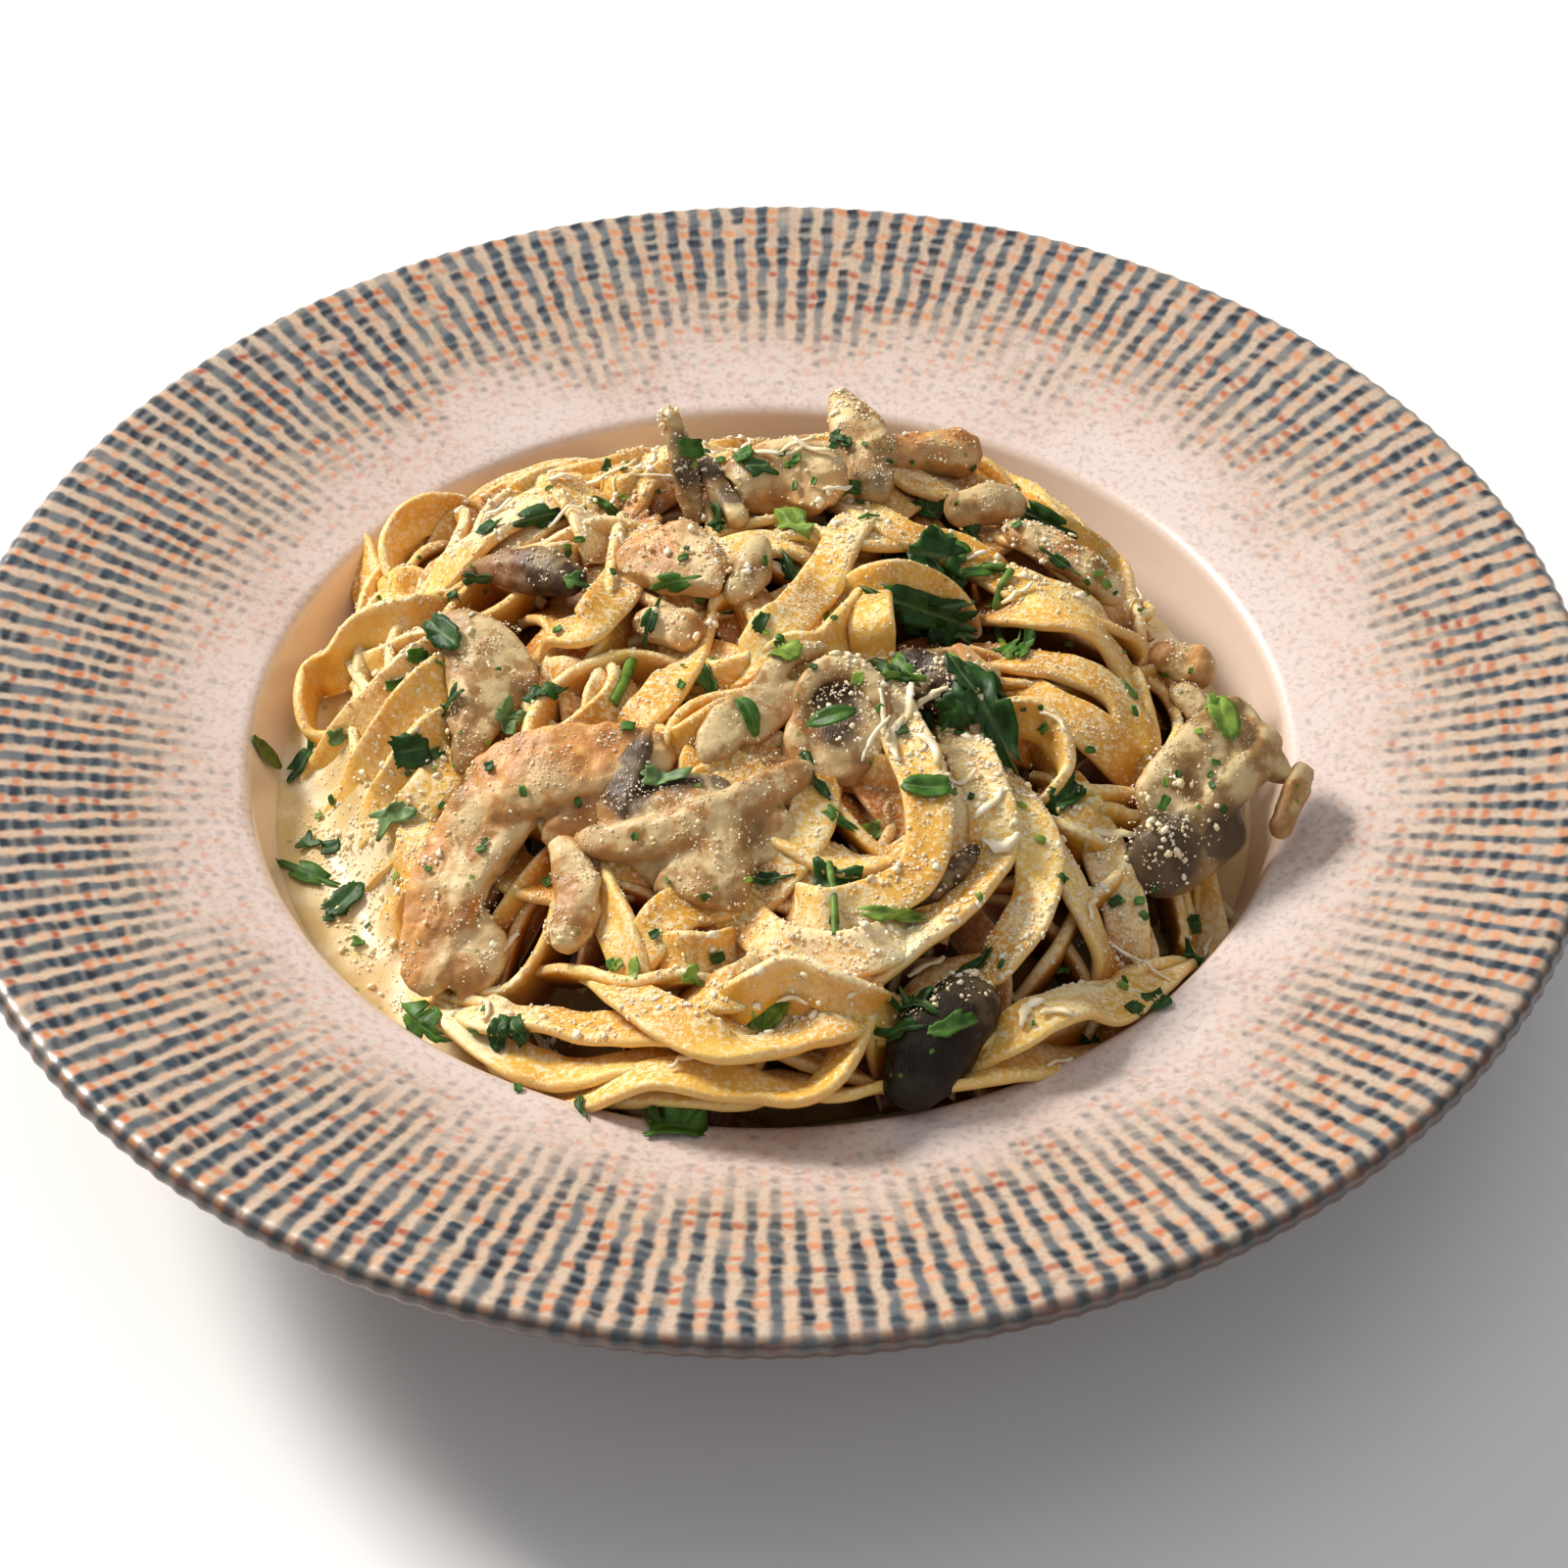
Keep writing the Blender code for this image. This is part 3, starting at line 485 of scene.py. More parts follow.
# Parsley stalks: points x, y and height over what lies there, then the stalk's half thickness
STALKS = (
    (((-21.5, -1, 0.4), (-22, -6, 0.8), (-23.5, -12, 0.8), (-25, -17, 0.2)), 1.0),
    (((41, 20, 1.0), (38.5, 14, 1.2), (37, 7, 1.0), (37.5, 0, 1.2), (40, -5, 0.2)), 0.7),
    (((30, 16, 0.8), (34, 17, 1.2), (41, 20, 1.0)), 0.6),
    (((17, -10, 0.6), (22, -10, 0.9), (27, -10, 0.4)), 0.55),
    (((28, -4, 0.6), (31, -6, 0.9), (33, -10, 0.6)), 0.7),
    (((9, -48, 0.8), (10, -55, 0.9), (10, -63, 0.4)), 0.6),
)

PARSLEY_TONES = {"dark": 0.0, "mid": 0.33, "light": 0.66, "grey": 0.85, "olive": 1.0}

# Where grated cheese fell thick: x, y, radius, how thick
CHEESY_PLACES = (
    (4, 62, 16, 1.0), (-14, 46, 12, 0.8), (-22, 66, 10, 0.8), (24, -22, 12, 1.0), (32, -34, 12, 0.9),
    (40, -66, 12, 0.8), (24, -64, 12, 0.7), (54, -44, 9, 0.8), (66, -36, 8, 0.6), (-46, 40, 12, 0.6),
    (-60, 8, 10, 0.6), (-16, -78, 12, 0.8), (-4, -72, 12, 0.6), (-24, 22, 10, 0.6), (48, 22, 12, 0.6),
    (-66, -26, 16, 0.7), (-10, 8, 9, 0.5), (12, 22, 10, 0.6), (-38, -58, 8, 0.5), (64, -52, 9, 0.6),
)

# Long shreds and flakes of cheese: x, y, heading, length, width
SHREDS = (
    (-30, 76, 8, 15, 0.7), (-27, 73, 70, 9, 0.7), (-22, 78, 5, 9, 0.6), (-36, 70, 30, 8, 0.6),
    (2, 58, 10, 8, 1.2), (8, 64, -30, 7, 1.0), (-4, 60, 50, 6, 1.0), (5, 52, 15, 7, 0.9),
    (46, -16, -50, 6, 0.9), (53, -34, 18, 9, 1.8), (34, -36, 70, 7, 1.6), (36, -41, 10, 6, 2.2),
    (22, -17, 60, 8, 1.6), (26, -14, 20, 7, 1.4), (21, -27, 80, 9, 2.0), (17, -27, 70, 9, 0.9),
    (18, -22, 100, 8, 0.9), (25, -28, 120, 7, 1.6), (56, -51, -40, 9, 0.7), (60, -50, -60, 8, 0.7),
    (40, -68, 40, 6, 2.0), (44, -66, 15, 5, 1.6), (24, -66, 50, 6, 1.4), (41, 14, 40, 6, 0.9),
    (33, 22, 5, 7, 1.2), (74, -36, 80, 8, 2.6), (70, -42, 60, 5, 1.2), (-12, -78, 5, 6, 0.9),
    (-26, -78, 40, 6, 0.8), (12, 36, 30, 6, 0.9), (-46, 44, 25, 6, 0.8), (-20, 60, 80, 7, 0.8),
    (44, -72, 20, 5, 1.0), (4, -70, 10, 5, 0.8), (-36, 60, 30, 6, 0.7), (62, 30, 60, 5, 0.9),
    (30, -32, 30, 6, 1.3), (-44, -59, 70, 5, 1.0), (-40, -52, 30, 4, 1.2), (50, -48, 60, 5, 1.2),
)


# ---------------------------------------------------------------- terrain under the ribbons

class Terrain:
    """Heights in mm over a square grid of 1 mm cells, for laying one thing on another."""

    def __init__(self, heights):
        self.heights = heights

    def cell(self, x, y):
        column = np.clip(np.rint(np.asarray(x) + GRID_REACH).astype(int), 0, 2 * GRID_REACH)
        row = np.clip(np.rint(np.asarray(y) + GRID_REACH).astype(int), 0, 2 * GRID_REACH)
        return column, row

    def at(self, x, y):
        return self.heights[self.cell(x, y)]

    def smooth_at(self, x, y):
        """Height between cells, for shapes that follow the terrain closely."""
        x = np.clip(np.asarray(x, float) + GRID_REACH, 0, 2 * GRID_REACH - 1.001)
        y = np.clip(np.asarray(y, float) + GRID_REACH, 0, 2 * GRID_REACH - 1.001)
        i, j = x.astype(int), y.astype(int)
        u, v = x - i, y - j
        h = self.heights
        near = h[i, j] * (1 - u) * (1 - v) + h[i + 1, j] * u * (1 - v)
        return near + h[i, j + 1] * (1 - u) * v + h[i + 1, j + 1] * u * v

    def lift_to(self, x, y, z):
        """Raises the cells at x, y to z where they are lower."""
        np.maximum.at(self.heights, self.cell(x, y), z)


def plate_terrain():
    """The empty plate: well, edge and rim."""
    axis = np.arange(-GRID_REACH, GRID_REACH + 1, dtype=float)
    x, y = np.meshgrid(axis, axis, indexing="ij")
    radius = np.hypot(x, y)
    rim = WELL_HEIGHT + (radius - EDGE_RADIUS) * RIM_SLOPE
    return Terrain(np.where(radius < WELL_RADIUS, well_height(radius), rim))


def lift_over(terrain, obj):
    """Lifts the terrain to the upper side of an object."""
    mesh = obj.data
    mesh.calc_loop_triangles()
    corners = np.array([[mesh.vertices[i].co[:] for i in t.vertices] for t in mesh.loop_triangles]) / MM
    steps = 14
    shares = [(i / steps, j / steps) for i in range(steps + 1) for j in range(steps + 1 - i)]
    for a, b in shares:
        spot = corners[:, 0] * (1 - a - b) + corners[:, 1] * a + corners[:, 2] * b
        terrain.lift_to(spot[:, 0], spot[:, 1], spot[:, 2])


def blurred(terrain, passes):
    """The terrain with its steps smoothed out."""
    heights = terrain.heights.copy()
    for _ in range(passes):
        for axis in (0, 1):
            ahead, behind = np.roll(heights, 1, axis), np.roll(heights, -1, axis)
            heights = (ahead + 2 * heights + behind) / 4
    return Terrain(heights)


def survey():
    """The heap's design surface, and the least height of what lies on it, from the CAD nodes."""
    surface = plate_terrain()
    lift_over(surface, frame["nodes"]["sauce"])
    lift_over(surface, frame["nodes"]["fettuccine"])
    surface = blurred(surface, 10)
    toppings = plate_terrain()
    toppings.heights[:] = 0
    for name in TOPPING_NODES:
        lift_over(toppings, frame["nodes"][name])
    return surface, toppings


# ---------------------------------------------------------------- ribbons of pasta

GOLDEN_SHARE = 0.381966  # turns by this share of a circle never fall on one another
WAVE_SHIFT = 3.7  # moves each ribbon to its own part of the noise that waves and twists it
NONE_BELOW = -100.0
NONE_ABOVE = 1000.0


def toward_eye(x, y, z, rise):
    """Where a point on the heap's surface comes to when it rises but still shows in the same place."""
    eye = np.array(CAMERA_PLACE) / MM
    share = rise / (eye[2] - z)
    return x + (eye[0] - x) * share, y + (eye[1] - y) * share


def through(points, spacing):
    """Even stations on a smooth curve through rows of numbers, the first two of them a place in plan."""
    points = np.asarray(points, float)
    ends = np.vstack([2 * points[0] - points[1], points, 2 * points[-1] - points[-2]])
    dense = []
    for a, b, c, d in zip(ends, ends[1:], ends[2:], ends[3:]):
        for t in np.linspace(0, 1, 24, endpoint=False):
            dense.append(0.5 * (2 * b + (c - a) * t + (2 * a - 5 * b + 4 * c - d) * t ** 2
                                + (3 * b - a - 3 * c + d) * t ** 3))
    dense.append(points[-1])
    dense = np.array(dense)
    run = np.concatenate([[0], np.cumsum(np.linalg.norm(np.diff(dense[:, :2], axis=0), axis=1))])
    count = max(int(run[-1] / spacing), 4)
    even = np.linspace(0, run[-1], count + 1)
    return np.stack([np.interp(even, run, column) for column in dense.T], axis=1)


def relaxed(numbers, passes):
    """Numbers along a line, smoothed with free ends."""
    for _ in range(passes):
        padded = np.concatenate([numbers[:1], numbers, numbers[-1:]])
        numbers = (padded[:-2] + 2 * padded[1:-1] + padded[2:]) / 4
    return numbers


def widest(numbers, reach):
    """The largest number within reach stations."""
    padded = np.pad(numbers, reach, mode="edge")
    return np.max([padded[i:i + len(numbers)] for i in range(2 * reach + 1)], axis=0)


# The ribbon's section seen from its end: share of the half width, share of the half thickness
SECTION = ((-1.0, 0.0), (-0.965, 0.62), (-0.86, 1.0), (-0.45, 1.0), (0.0, 1.0), (0.45, 1.0), (0.86, 1.0),
           (0.965, 0.62), (1.0, 0.0), (0.965, -0.62), (0.86, -1.0), (0.45, -1.0), (0.0, -1.0), (-0.45, -1.0),
           (-0.86, -1.0), (-0.965, -0.62))


class Ribbons:
    """Collects laid ribbons as one mesh, keeping for each point what its finish needs."""

    def __init__(self, surface):
        self.surface = surface
        self.half_width = bpy.context.scene.alfredo_sizes.ribbon_width / MM / 2
        self.half_thick = bpy.context.scene.alfredo_sizes.ribbon_thickness / MM / 2
        self.points, self.faces, self.across, self.count = [], [], [], 0

    def ways(self, x, y):
        """The ribbon's right-hand side in plan, and how far along it each station is."""
        way = np.gradient(np.stack([x, y], axis=1), axis=0)
        length = np.linalg.norm(way, axis=1)
        way /= length[:, None]
        return np.stack([way[:, 1], -way[:, 0]], axis=1), np.cumsum(length)

    def settled(self, x, y, design, half, tilt, terrain, most, ceiling):
        """Heights of the ribbon's middle: over what is below, under what is above, its ends tucked in."""
        side, run = self.ways(x, y)
        reach = max(round(2.2 / (run[-1] / len(run))), 1)
        need = np.full(len(x), NONE_BELOW)
        for share in (-0.95, -0.5, 0.0, 0.5, 0.95):
            off = share * half * np.cos(tilt)
            ground = terrain.at(x + side[:, 0] * off, y + side[:, 1] * off)
            above = ground - share * half * np.sin(tilt)
            need = np.maximum(need, above + self.half_thick * np.abs(np.cos(tilt)))
        need = relaxed(widest(need, reach), 5 * reach)
        z = np.maximum(design, np.minimum(need, design + most))
        if ceiling is not None:
            top = np.full(len(x), NONE_ABOVE)
            for share in (-0.9, -0.45, 0.0, 0.45, 0.9):
                off = share * half * np.cos(tilt)
                over = ceiling.at(x + side[:, 0] * off, y + side[:, 1] * off)
                over = np.where(over > 0, over - CLEAR_OF_TOPPING, NONE_ABOVE)
                top = np.minimum(top, over - share * half * np.sin(tilt) - self.half_thick)
            z = np.minimum(z, -widest(-top, reach))
        near_end = np.minimum(run, (run[-1] - run)) / TUCK_LENGTH
        tuck = 1 - np.clip(near_end, 0, 1) ** 0.8
        return relaxed(z - tuck * (TUCK_DEPTH + np.maximum(z - design, 0)), 4 * reach)

    def keep(self, centre, width_way, thick_way, half_width, half_thick, bow):
        """Adds one ribbon: its section swept along the middle line and bowed across its width."""
        section = np.array(SECTION)
        u = section[:, 0][None, :, None]
        v = section[:, 1][None, :, None]
        across = u * half_width[:, None, None] * width_way[:, None, :]
        arch = (u ** 2 - 0.4) * bow[:, None, None]
        through_it = (v * half_thick[:, None, None] + arch) * thick_way[:, None, :]
        rings = centre[:, None, :] + across + through_it
        stations, sides = rings.shape[:2]
        start = self.count
        index = start + np.arange(stations * sides).reshape(stations, sides)
        here, there = index[:-1], index[1:]
        quads = np.stack([here, np.roll(here, -1, 1), np.roll(there, -1, 1), there], axis=-1).reshape(-1, 4)
        self.faces += quads.tolist()
        self.faces += [index[0].tolist(), index[-1][::-1].tolist()]
        self.points.append(rings.reshape(-1, 3))
        self.across.append(np.tile(np.abs(section[:, 0]), stations))
        self.count += stations * sides

    def lay(self, route, terrain, draw, spacing=STATION, most=4.0, ceiling=None, sighted=True):
        """Lays one ribbon: a route of x, y, height over the heap's surface, and tilt in degrees (0 is flat,
        90 stands on its edge, more than 0 raises the right-hand edge). It rests on the terrain and lifts it.
        A sighted route says where the ribbon shows against the heap's surface to the eater."""
        line = through(route, spacing)
        seen_x, seen_y, lift, tilt = line.T
        tilt = np.radians(tilt)
        wave = np.array([noise.noise(Vector((px / 9, py / 9, draw))) for px, py in line[:, :2]])
        half = self.half_width * (1 + 0.10 * wave)
        twist = np.array([noise.noise(Vector((px / 17, py / 17, draw + 50.0))) for px, py in line[:, :2]])
        tilt = tilt + (0.2 * np.roll(wave, 3) + 0.8 * twist) * np.abs(np.cos(tilt))
        skin = self.surface.smooth_at(seen_x, seen_y)
        z = skin + lift
        for _ in range(3 if sighted else 1):
            x, y = seen_x, seen_y
            if sighted:
                x, y = toward_eye(seen_x, seen_y, skin - SIGHT_DROP, z - skin + SIGHT_DROP)
            z = self.settled(x, y, skin + lift, half, tilt, terrain, most, ceiling)
        side, _ = self.ways(x, y)
        centre = np.stack([x, y, z], axis=1)
        along = unit(np.gradient(centre, axis=0))
        flat_side = np.column_stack([side, np.zeros(len(x))])
        rise = np.cross(flat_side, along)
        width_way = flat_side * np.cos(tilt)[:, None] + rise * np.sin(tilt)[:, None]
        thick_way = -flat_side * np.sin(tilt)[:, None] + rise * np.cos(tilt)[:, None]
        thick = self.half_thick * (1 + 0.18 * np.roll(wave, 7))
        bow = 0.3 + 0.6 * wave
        self.keep(centre, width_way, thick_way, half, thick, bow)
        for share in np.linspace(-1, 1, 9):
            spot = centre + (share * half)[:, None] * width_way
            terrain.lift_to(spot[:, 0], spot[:, 1], spot[:, 2] + thick * np.abs(np.cos(tilt)))

    def build(self, name):
        """The piece, with how far across, how deep and how creamy each of its points is."""
        points = np.concatenate(self.points)
        across = np.concatenate(self.across)
        bump = np.array([noise.noise(Vector(p) / 3.1) for p in points])
        points[:, 2] += 0.26 * bump
        below = self.surface.smooth_at(points[:, 0], points[:, 1]) - points[:, 2]
        deep = np.clip((below + 1.0) / 8.0, 0, 1)
        cream = np.zeros(len(points))
        for x, y, radius, strength in CREAMY_PLACES:
            away = np.hypot(points[:, 0] - x, points[:, 1] - y) / radius
            cream = np.maximum(cream, strength * np.clip(1.35 - away, 0, 1))
        wet = np.clip((SAUCE_LEVEL + 5.0 - points[:, 2]) / 4.0, 0, 1)
        return mesh_object(name, points, self.faces, across=across, deep=deep, cream=np.maximum(cream, wet))


def outline(surface, turn):
    """How far out the heap reaches in one direction: where its surface still stands over sauce and plate."""
    away = np.arange(50.0, WELL_RADIUS, 0.5)
    heights = surface.smooth_at(*polar(away, turn))
    level = np.maximum(SAUCE_LEVEL, well_height(away)) + HEAP_EDGE_RISE
    return float(away[np.argmax(heights < level)]) if (heights < level).any() else float(away[-1])


def filler_routes(draws, surface):
    """Loose arcs that fill the heap from the bottom up, inside its outline, and then arcs along its edge."""
    for number in range(FILLERS):
        turn = draws.uniform(-math.pi, math.pi)
        reach = 0.97 * outline(surface, turn) * math.sqrt(draws.random())
        x, y = polar(reach, turn)
        heading = draws.uniform(-math.pi, math.pi)
        bend = draws.choice((-1, 1)) / draws.uniform(9, 30)
        on_edge = draws.random() < 0.62
        lean = draws.uniform(50, 82) * draws.choice((-1, 1)) if on_edge else draws.uniform(-22, 22)
        level = -10.0 + 7.0 * number / FILLERS
        route = []
        for _ in range(draws.integers(6, 11)):
            limit = outline(surface, math.atan2(y, x)) - 5.0
            keep = min(1.0, limit / max(math.hypot(x, y), 1))
            route.append((x * keep, y * keep, level, lean))
            heading += bend * 9 + draws.uniform(-0.15, 0.15)
            lean += draws.uniform(-7, 7)
            x += 9 * math.cos(heading)
            y += 9 * math.sin(heading)
        yield route
    for number in range(EDGE_FILLERS):
        turn = 2 * math.pi * number * GOLDEN_SHARE
        inward = draws.uniform(5, 17)
        lean = draws.uniform(-75, -25)
        level = draws.uniform(-5.5, -2.0)
        route = []
        for _ in range(draws.integers(4, 8)):
            away = outline(surface, turn) - inward
            route.append((*polar(away, turn), level, lean))
            turn -= 9.0 / away
            inward += draws.uniform(-2.5, 2.5)
            lean += draws.uniform(-9, 9)
        yield route


def egg_pasta():
    """Cooked egg ribbon, rolled and cut: moist, golden where it faces the light, amber in the hollows by
    painted shade and paler along its edges by a painted highlight, with a pale broken film of cream and a
    fine dust of grated cheese on what faces up."""
    material, tree, shader = new_material("egg_pasta_sauced")
    place = add(tree, "TexCoord").outputs["Object"]
    deep = add(tree, "Attribute", attribute_name="deep").outputs["Fac"]
    cream = add(tree, "Attribute", attribute_name="cream").outputs["Fac"]
    across = add(tree, "Attribute", attribute_name="across").outputs["Fac"]
    broad = add(tree, "TexNoise", {"Vector": place, "Scale": apart(13.33), "Detail": 3.0})
    broad = add(tree, "MapRange", {0: broad, 1: 0.34, 2: 0.66})
    tone = add(tree, "ValToRGB", {0: broad}, stops=((0.0, "#D99A2E"), (0.5, tint("pasta")),
                                                    (1.0, "#EDC25E")))
    # painted shade: the deeper a point lies under the heap's surface, the darker amber-brown it is
    # multiplied
    dark = add(tree, "ValToRGB", {0: deep}, stops=((0.0, "#FFFFFF"), (0.5, "#CFA878"), (1.0, "#6F4A28")))
    tone = add(tree, "Mix", {0: 1.0, 6: tone, 7: dark}, data_type="RGBA", blend_type="MULTIPLY")
    # painted highlight: a paler band along both edges of every ribbon
    rim = add(tree, "MapRange", {0: across, 1: 0.84, 2: 0.98, 3: 0.0, 4: 0.42})
    tone = lay_over(tree, tone.outputs[2], "#F3D896", rim)
    normal = add(tree, "SeparateXYZ", {0: add(tree, "NewGeometry").outputs["Normal"]})
    facing = add(tree, "MapRange", {0: normal.outputs["Z"], 1: 0.05, 2: 0.75})
    shade = add(tree, "MapRange", {0: deep, 1: 0.15, 2: 0.8, 3: 1.0, 4: 0.1})
    reach = add(tree, "Math", {0: facing, 1: shade}, operation="MULTIPLY")
    clot = add(tree, "TexNoise", {"Vector": place, "Scale": apart(4.348), "Detail": 6.0, "Roughness": 0.66})
    streak = add(tree, "TexNoise", {"Vector": place, "Scale": apart(20.0), "Detail": 2.0})
    film = add(tree, "Math", {0: streak, 1: 0.75, 2: clot}, operation="MULTIPLY_ADD")
    film = add(tree, "Math", {0: cream, 1: 0.26, 2: film}, operation="MULTIPLY_ADD")
    film = add(tree, "MapRange", {0: film, 1: 0.93, 2: 1.20, 3: 0.0, 4: 0.75})
    tone = lay_over(tree, tone, tint("film"), film, reach)
    grain = add(tree, "TexNoise", {"Vector": place, "Scale": apart(0.9524), "Detail": 3.0, "Roughness": 0.7})
    dust = add(tree, "Math", {0: streak, 1: 0.34, 2: grain}, operation="MULTIPLY_ADD")
    dust = add(tree, "Math", {0: cream, 1: 0.08, 2: dust}, operation="MULTIPLY_ADD")
    dust = add(tree, "MapRange", {0: dust, 1: 0.66, 2: 0.78, 3: 0.0, 4: 0.78})
    dust = add(tree, "Math", {0: dust, 1: reach}, operation="MULTIPLY")
    tone = lay_over(tree, tone, "#F8E6BC", dust)
    lumps = add(tree, "Math", {0: clot, 1: 0.6, 2: grain}, operation="MULTIPLY_ADD")
    relief = add(tree, "Bump", {"Height": lumps, "Strength": 0.42, "Distance": 0.0006})
    gloss = add(tree, "MapRange", {0: dust, 1: 0.0, 2: 0.7, 3: 0.36, 4: 0.6})
    fill(tree, shader, {"Base Color": tone, "Normal": relief, "Roughness": gloss, "IOR": 1.42,
                        "Subsurface Weight": 0.35, "Subsurface Radius": (1.0, 0.5, 0.16),
                        "Subsurface Scale": 0.0022})
    return material


def heap_inside_painted_shade():
    """Pasta deep inside the heap, seen only through the gaps: wet, and painted dark amber-brown as the shade
    in there.
    """
    material, tree, shader = new_material("pasta_heap_inside")
    place = add(tree, "TexCoord").outputs["Object"]
    # painted shade: the whole core is coloured dark brown
    broad = add(tree, "TexNoise", {"Vector": place, "Scale": apart(8.333), "Detail": 4.0})
    tone = add(tree, "ValToRGB", {0: broad}, stops=((0.3, "#543617"), (0.6, "#8A6230")))
    fill(tree, shader, {"Base Color": tone, "Roughness": 0.45})
    return material


def heap_core(surface):
    """The smaller core that the ribbons hide: the heap's surface sunk and drawn in."""
    rings, steps = 26, 96
    points = []
    edge_of = [outline(surface, 2 * math.pi * step / steps) - CORE_INWARD for step in range(steps)]
    for ring in range(rings + 1):
        for step in range(steps):
            turn = 2 * math.pi * step / steps
            x, y = polar(edge_of[step] * ring / rings, turn)
            fall = 1.5 * noise.noise(Vector((x / 5, y / 5, 4.0)))
            level = float(surface.smooth_at(x, y)) - CORE_DEPTH + fall
            points.append((x, y, level - 6 * (ring / rings) ** 6))
    base = len(points)
    for step in range(steps):
        points.append((*polar(FLOOR_RADIUS - 2.0, 2 * math.pi * step / steps), FLOOR_HEIGHT + 0.4))
    faces = tube_faces(0, rings + 1, steps)
    edge = rings * steps
    for step in range(steps):
        after = (step + 1) % steps
        faces.append((edge + step, base + step, base + after, edge + after))
    faces.append([base + step for step in range(steps)][::-1])
    core = mesh_object("heap_core", points, faces)
    turned_out(core.data, 1e-6)
    return core


def build_pasta():
    draws = np.random.default_rng(11)
    surface, toppings = survey()
    terrain = plate_terrain()
    core = heap_core(surface)
    lift_over(terrain, core)
    lower = Ribbons(surface)
    for number, route in enumerate(filler_routes(draws, surface)):
        lower.lay(route, terrain, number * WAVE_SHIFT, spacing=2.0, most=3.5, ceiling=toppings,
                  sighted=False)
    upper = Ribbons(surface)
    for number, route in enumerate(RIBBONS):
        ceiling = None if route is DRAPED else toppings
        upper.lay(route, terrain, 100 + number * WAVE_SHIFT, ceiling=ceiling)
    pasta = egg_pasta()
    dress(core, heap_inside_painted_shade(), "egg_pasta")
    dress(lower.build("ribbons_lower"), pasta, "egg_pasta")
    dress(upper.build("ribbons_upper"), pasta, "egg_pasta", "fettuccine")


# ---------------------------------------------------------------- chicken and mushrooms

LUMP_SIZE = 6.5
PIT_SIZE = 2.3
FINE_PIT_SIZE = 1.1
FIBRE_SIZE = 1.7
GILL_PITCH = 0.561
WAVE_BANDS = 20 / (2 * math.pi)  # bands that a wave texture puts in one unit of its scale


def strip_mesh(face, stations, sides=20, squareness=3.6):
    """A closed rounded strip. Face is the way its broad side looks; stations are x, y, z, half width and
    half thickness."""
    line = through(stations, spacing=1.3)
    centre, half, thick = line[:, :3], np.maximum(line[:, 3], 0.3), np.maximum(line[:, 4], 0.3)
    along = unit(np.gradient(centre, axis=0))
    face = np.array(face, float) / np.linalg.norm(face)
    across = unit(np.cross(np.broadcast_to(face, along.shape), along))
    out = np.cross(along, across)
    turn = np.linspace(0, 2 * math.pi, sides, endpoint=False)
    u = np.sign(np.cos(turn)) * np.abs(np.cos(turn)) ** (2 / squareness)
    v = np.sign(np.sin(turn)) * np.abs(np.sin(turn)) ** (2 / squareness)
    ease = np.ones(len(line))
    for i, share in enumerate((0.55, 0.85)):
        ease[i] = ease[-1 - i] = share
    rings = (centre[:, None, :] + u[None, :, None] * (half * ease)[:, None, None] * across[:, None, :]
             + v[None, :, None] * (thick * ease)[:, None, None] * out[:, None, :])
    start = centre[0] - along[0] * thick[0] * 0.7
    end = centre[-1] + along[-1] * thick[-1] * 0.7
    points = np.vstack([rings.reshape(-1, 3), start, end])
    count = len(line)
    faces = tube_faces(0, count, sides, flipped=True)
    for side in range(sides):
        after = (side + 1) % sides
        faces.append((count * sides, after, side))
        faces.append((count * sides + 1, (count - 1) * sides + side, (count - 1) * sides + after))
    return points, faces


def hoop(centre, face, wide, tall, half, thick, start=0, end=360):
    """Stations of a ring, or part of one, that lies square to the way it faces."""
    face = Vector(face).normalized()
    right = Vector((0, 0, 1)).cross(face).normalized() * -1
    up = face.cross(right) * -1
    stations = []
    for i in range(17):
        turn = math.radians(start + (end - start) * i / 16)
        spot = Vector(centre) + right * wide * math.cos(turn) + up * tall * math.sin(turn)
        stations.append((spot.x, spot.y, spot.z, half, thick))
    return stations


def joined(name, parts):
    """Overlapping closed parts as one object, for a remesh to fuse."""
    points, faces = [], []
    for part_points, part_faces in parts:
        base = len(points)
        points += part_points.tolist()
        faces += [[base + i for i in face] for face in part_faces]
    obj = mesh_object(name, points, faces)
    turned_out(obj.data)
    return obj


def evened(obj, voxel):
    """Makes one even skin of a body by a voxel remesh, its size in mm, and softens it a little."""
    activate(obj)
    remesh = obj.modifiers.new("even", "REMESH")
    remesh.mode = "VOXEL"
    remesh.voxel_size = voxel * MM
    remesh.use_smooth_shade = True
    soften = obj.modifiers.new("soften", "SMOOTH")
    soften.factor = 0.5
    soften.iterations = 3
    for modifier in ("even", "soften"):
        bpy.ops.object.modifier_apply(modifier=modifier)
    return obj


def node_copy(name):
    """The CAD node's own body as a new, merged mesh."""
    mesh = frame["nodes"][name].data.copy()
    mesh.materials.clear()
    turned_out(mesh, 2e-6)
    return new_object(name + "_looks", mesh)


def normals_of(obj):
    flat = np.empty(len(obj.data.vertices) * 3, np.float32)
    obj.data.vertex_normals.foreach_get("vector", flat)
    return flat.reshape(-1, 3).astype(float)


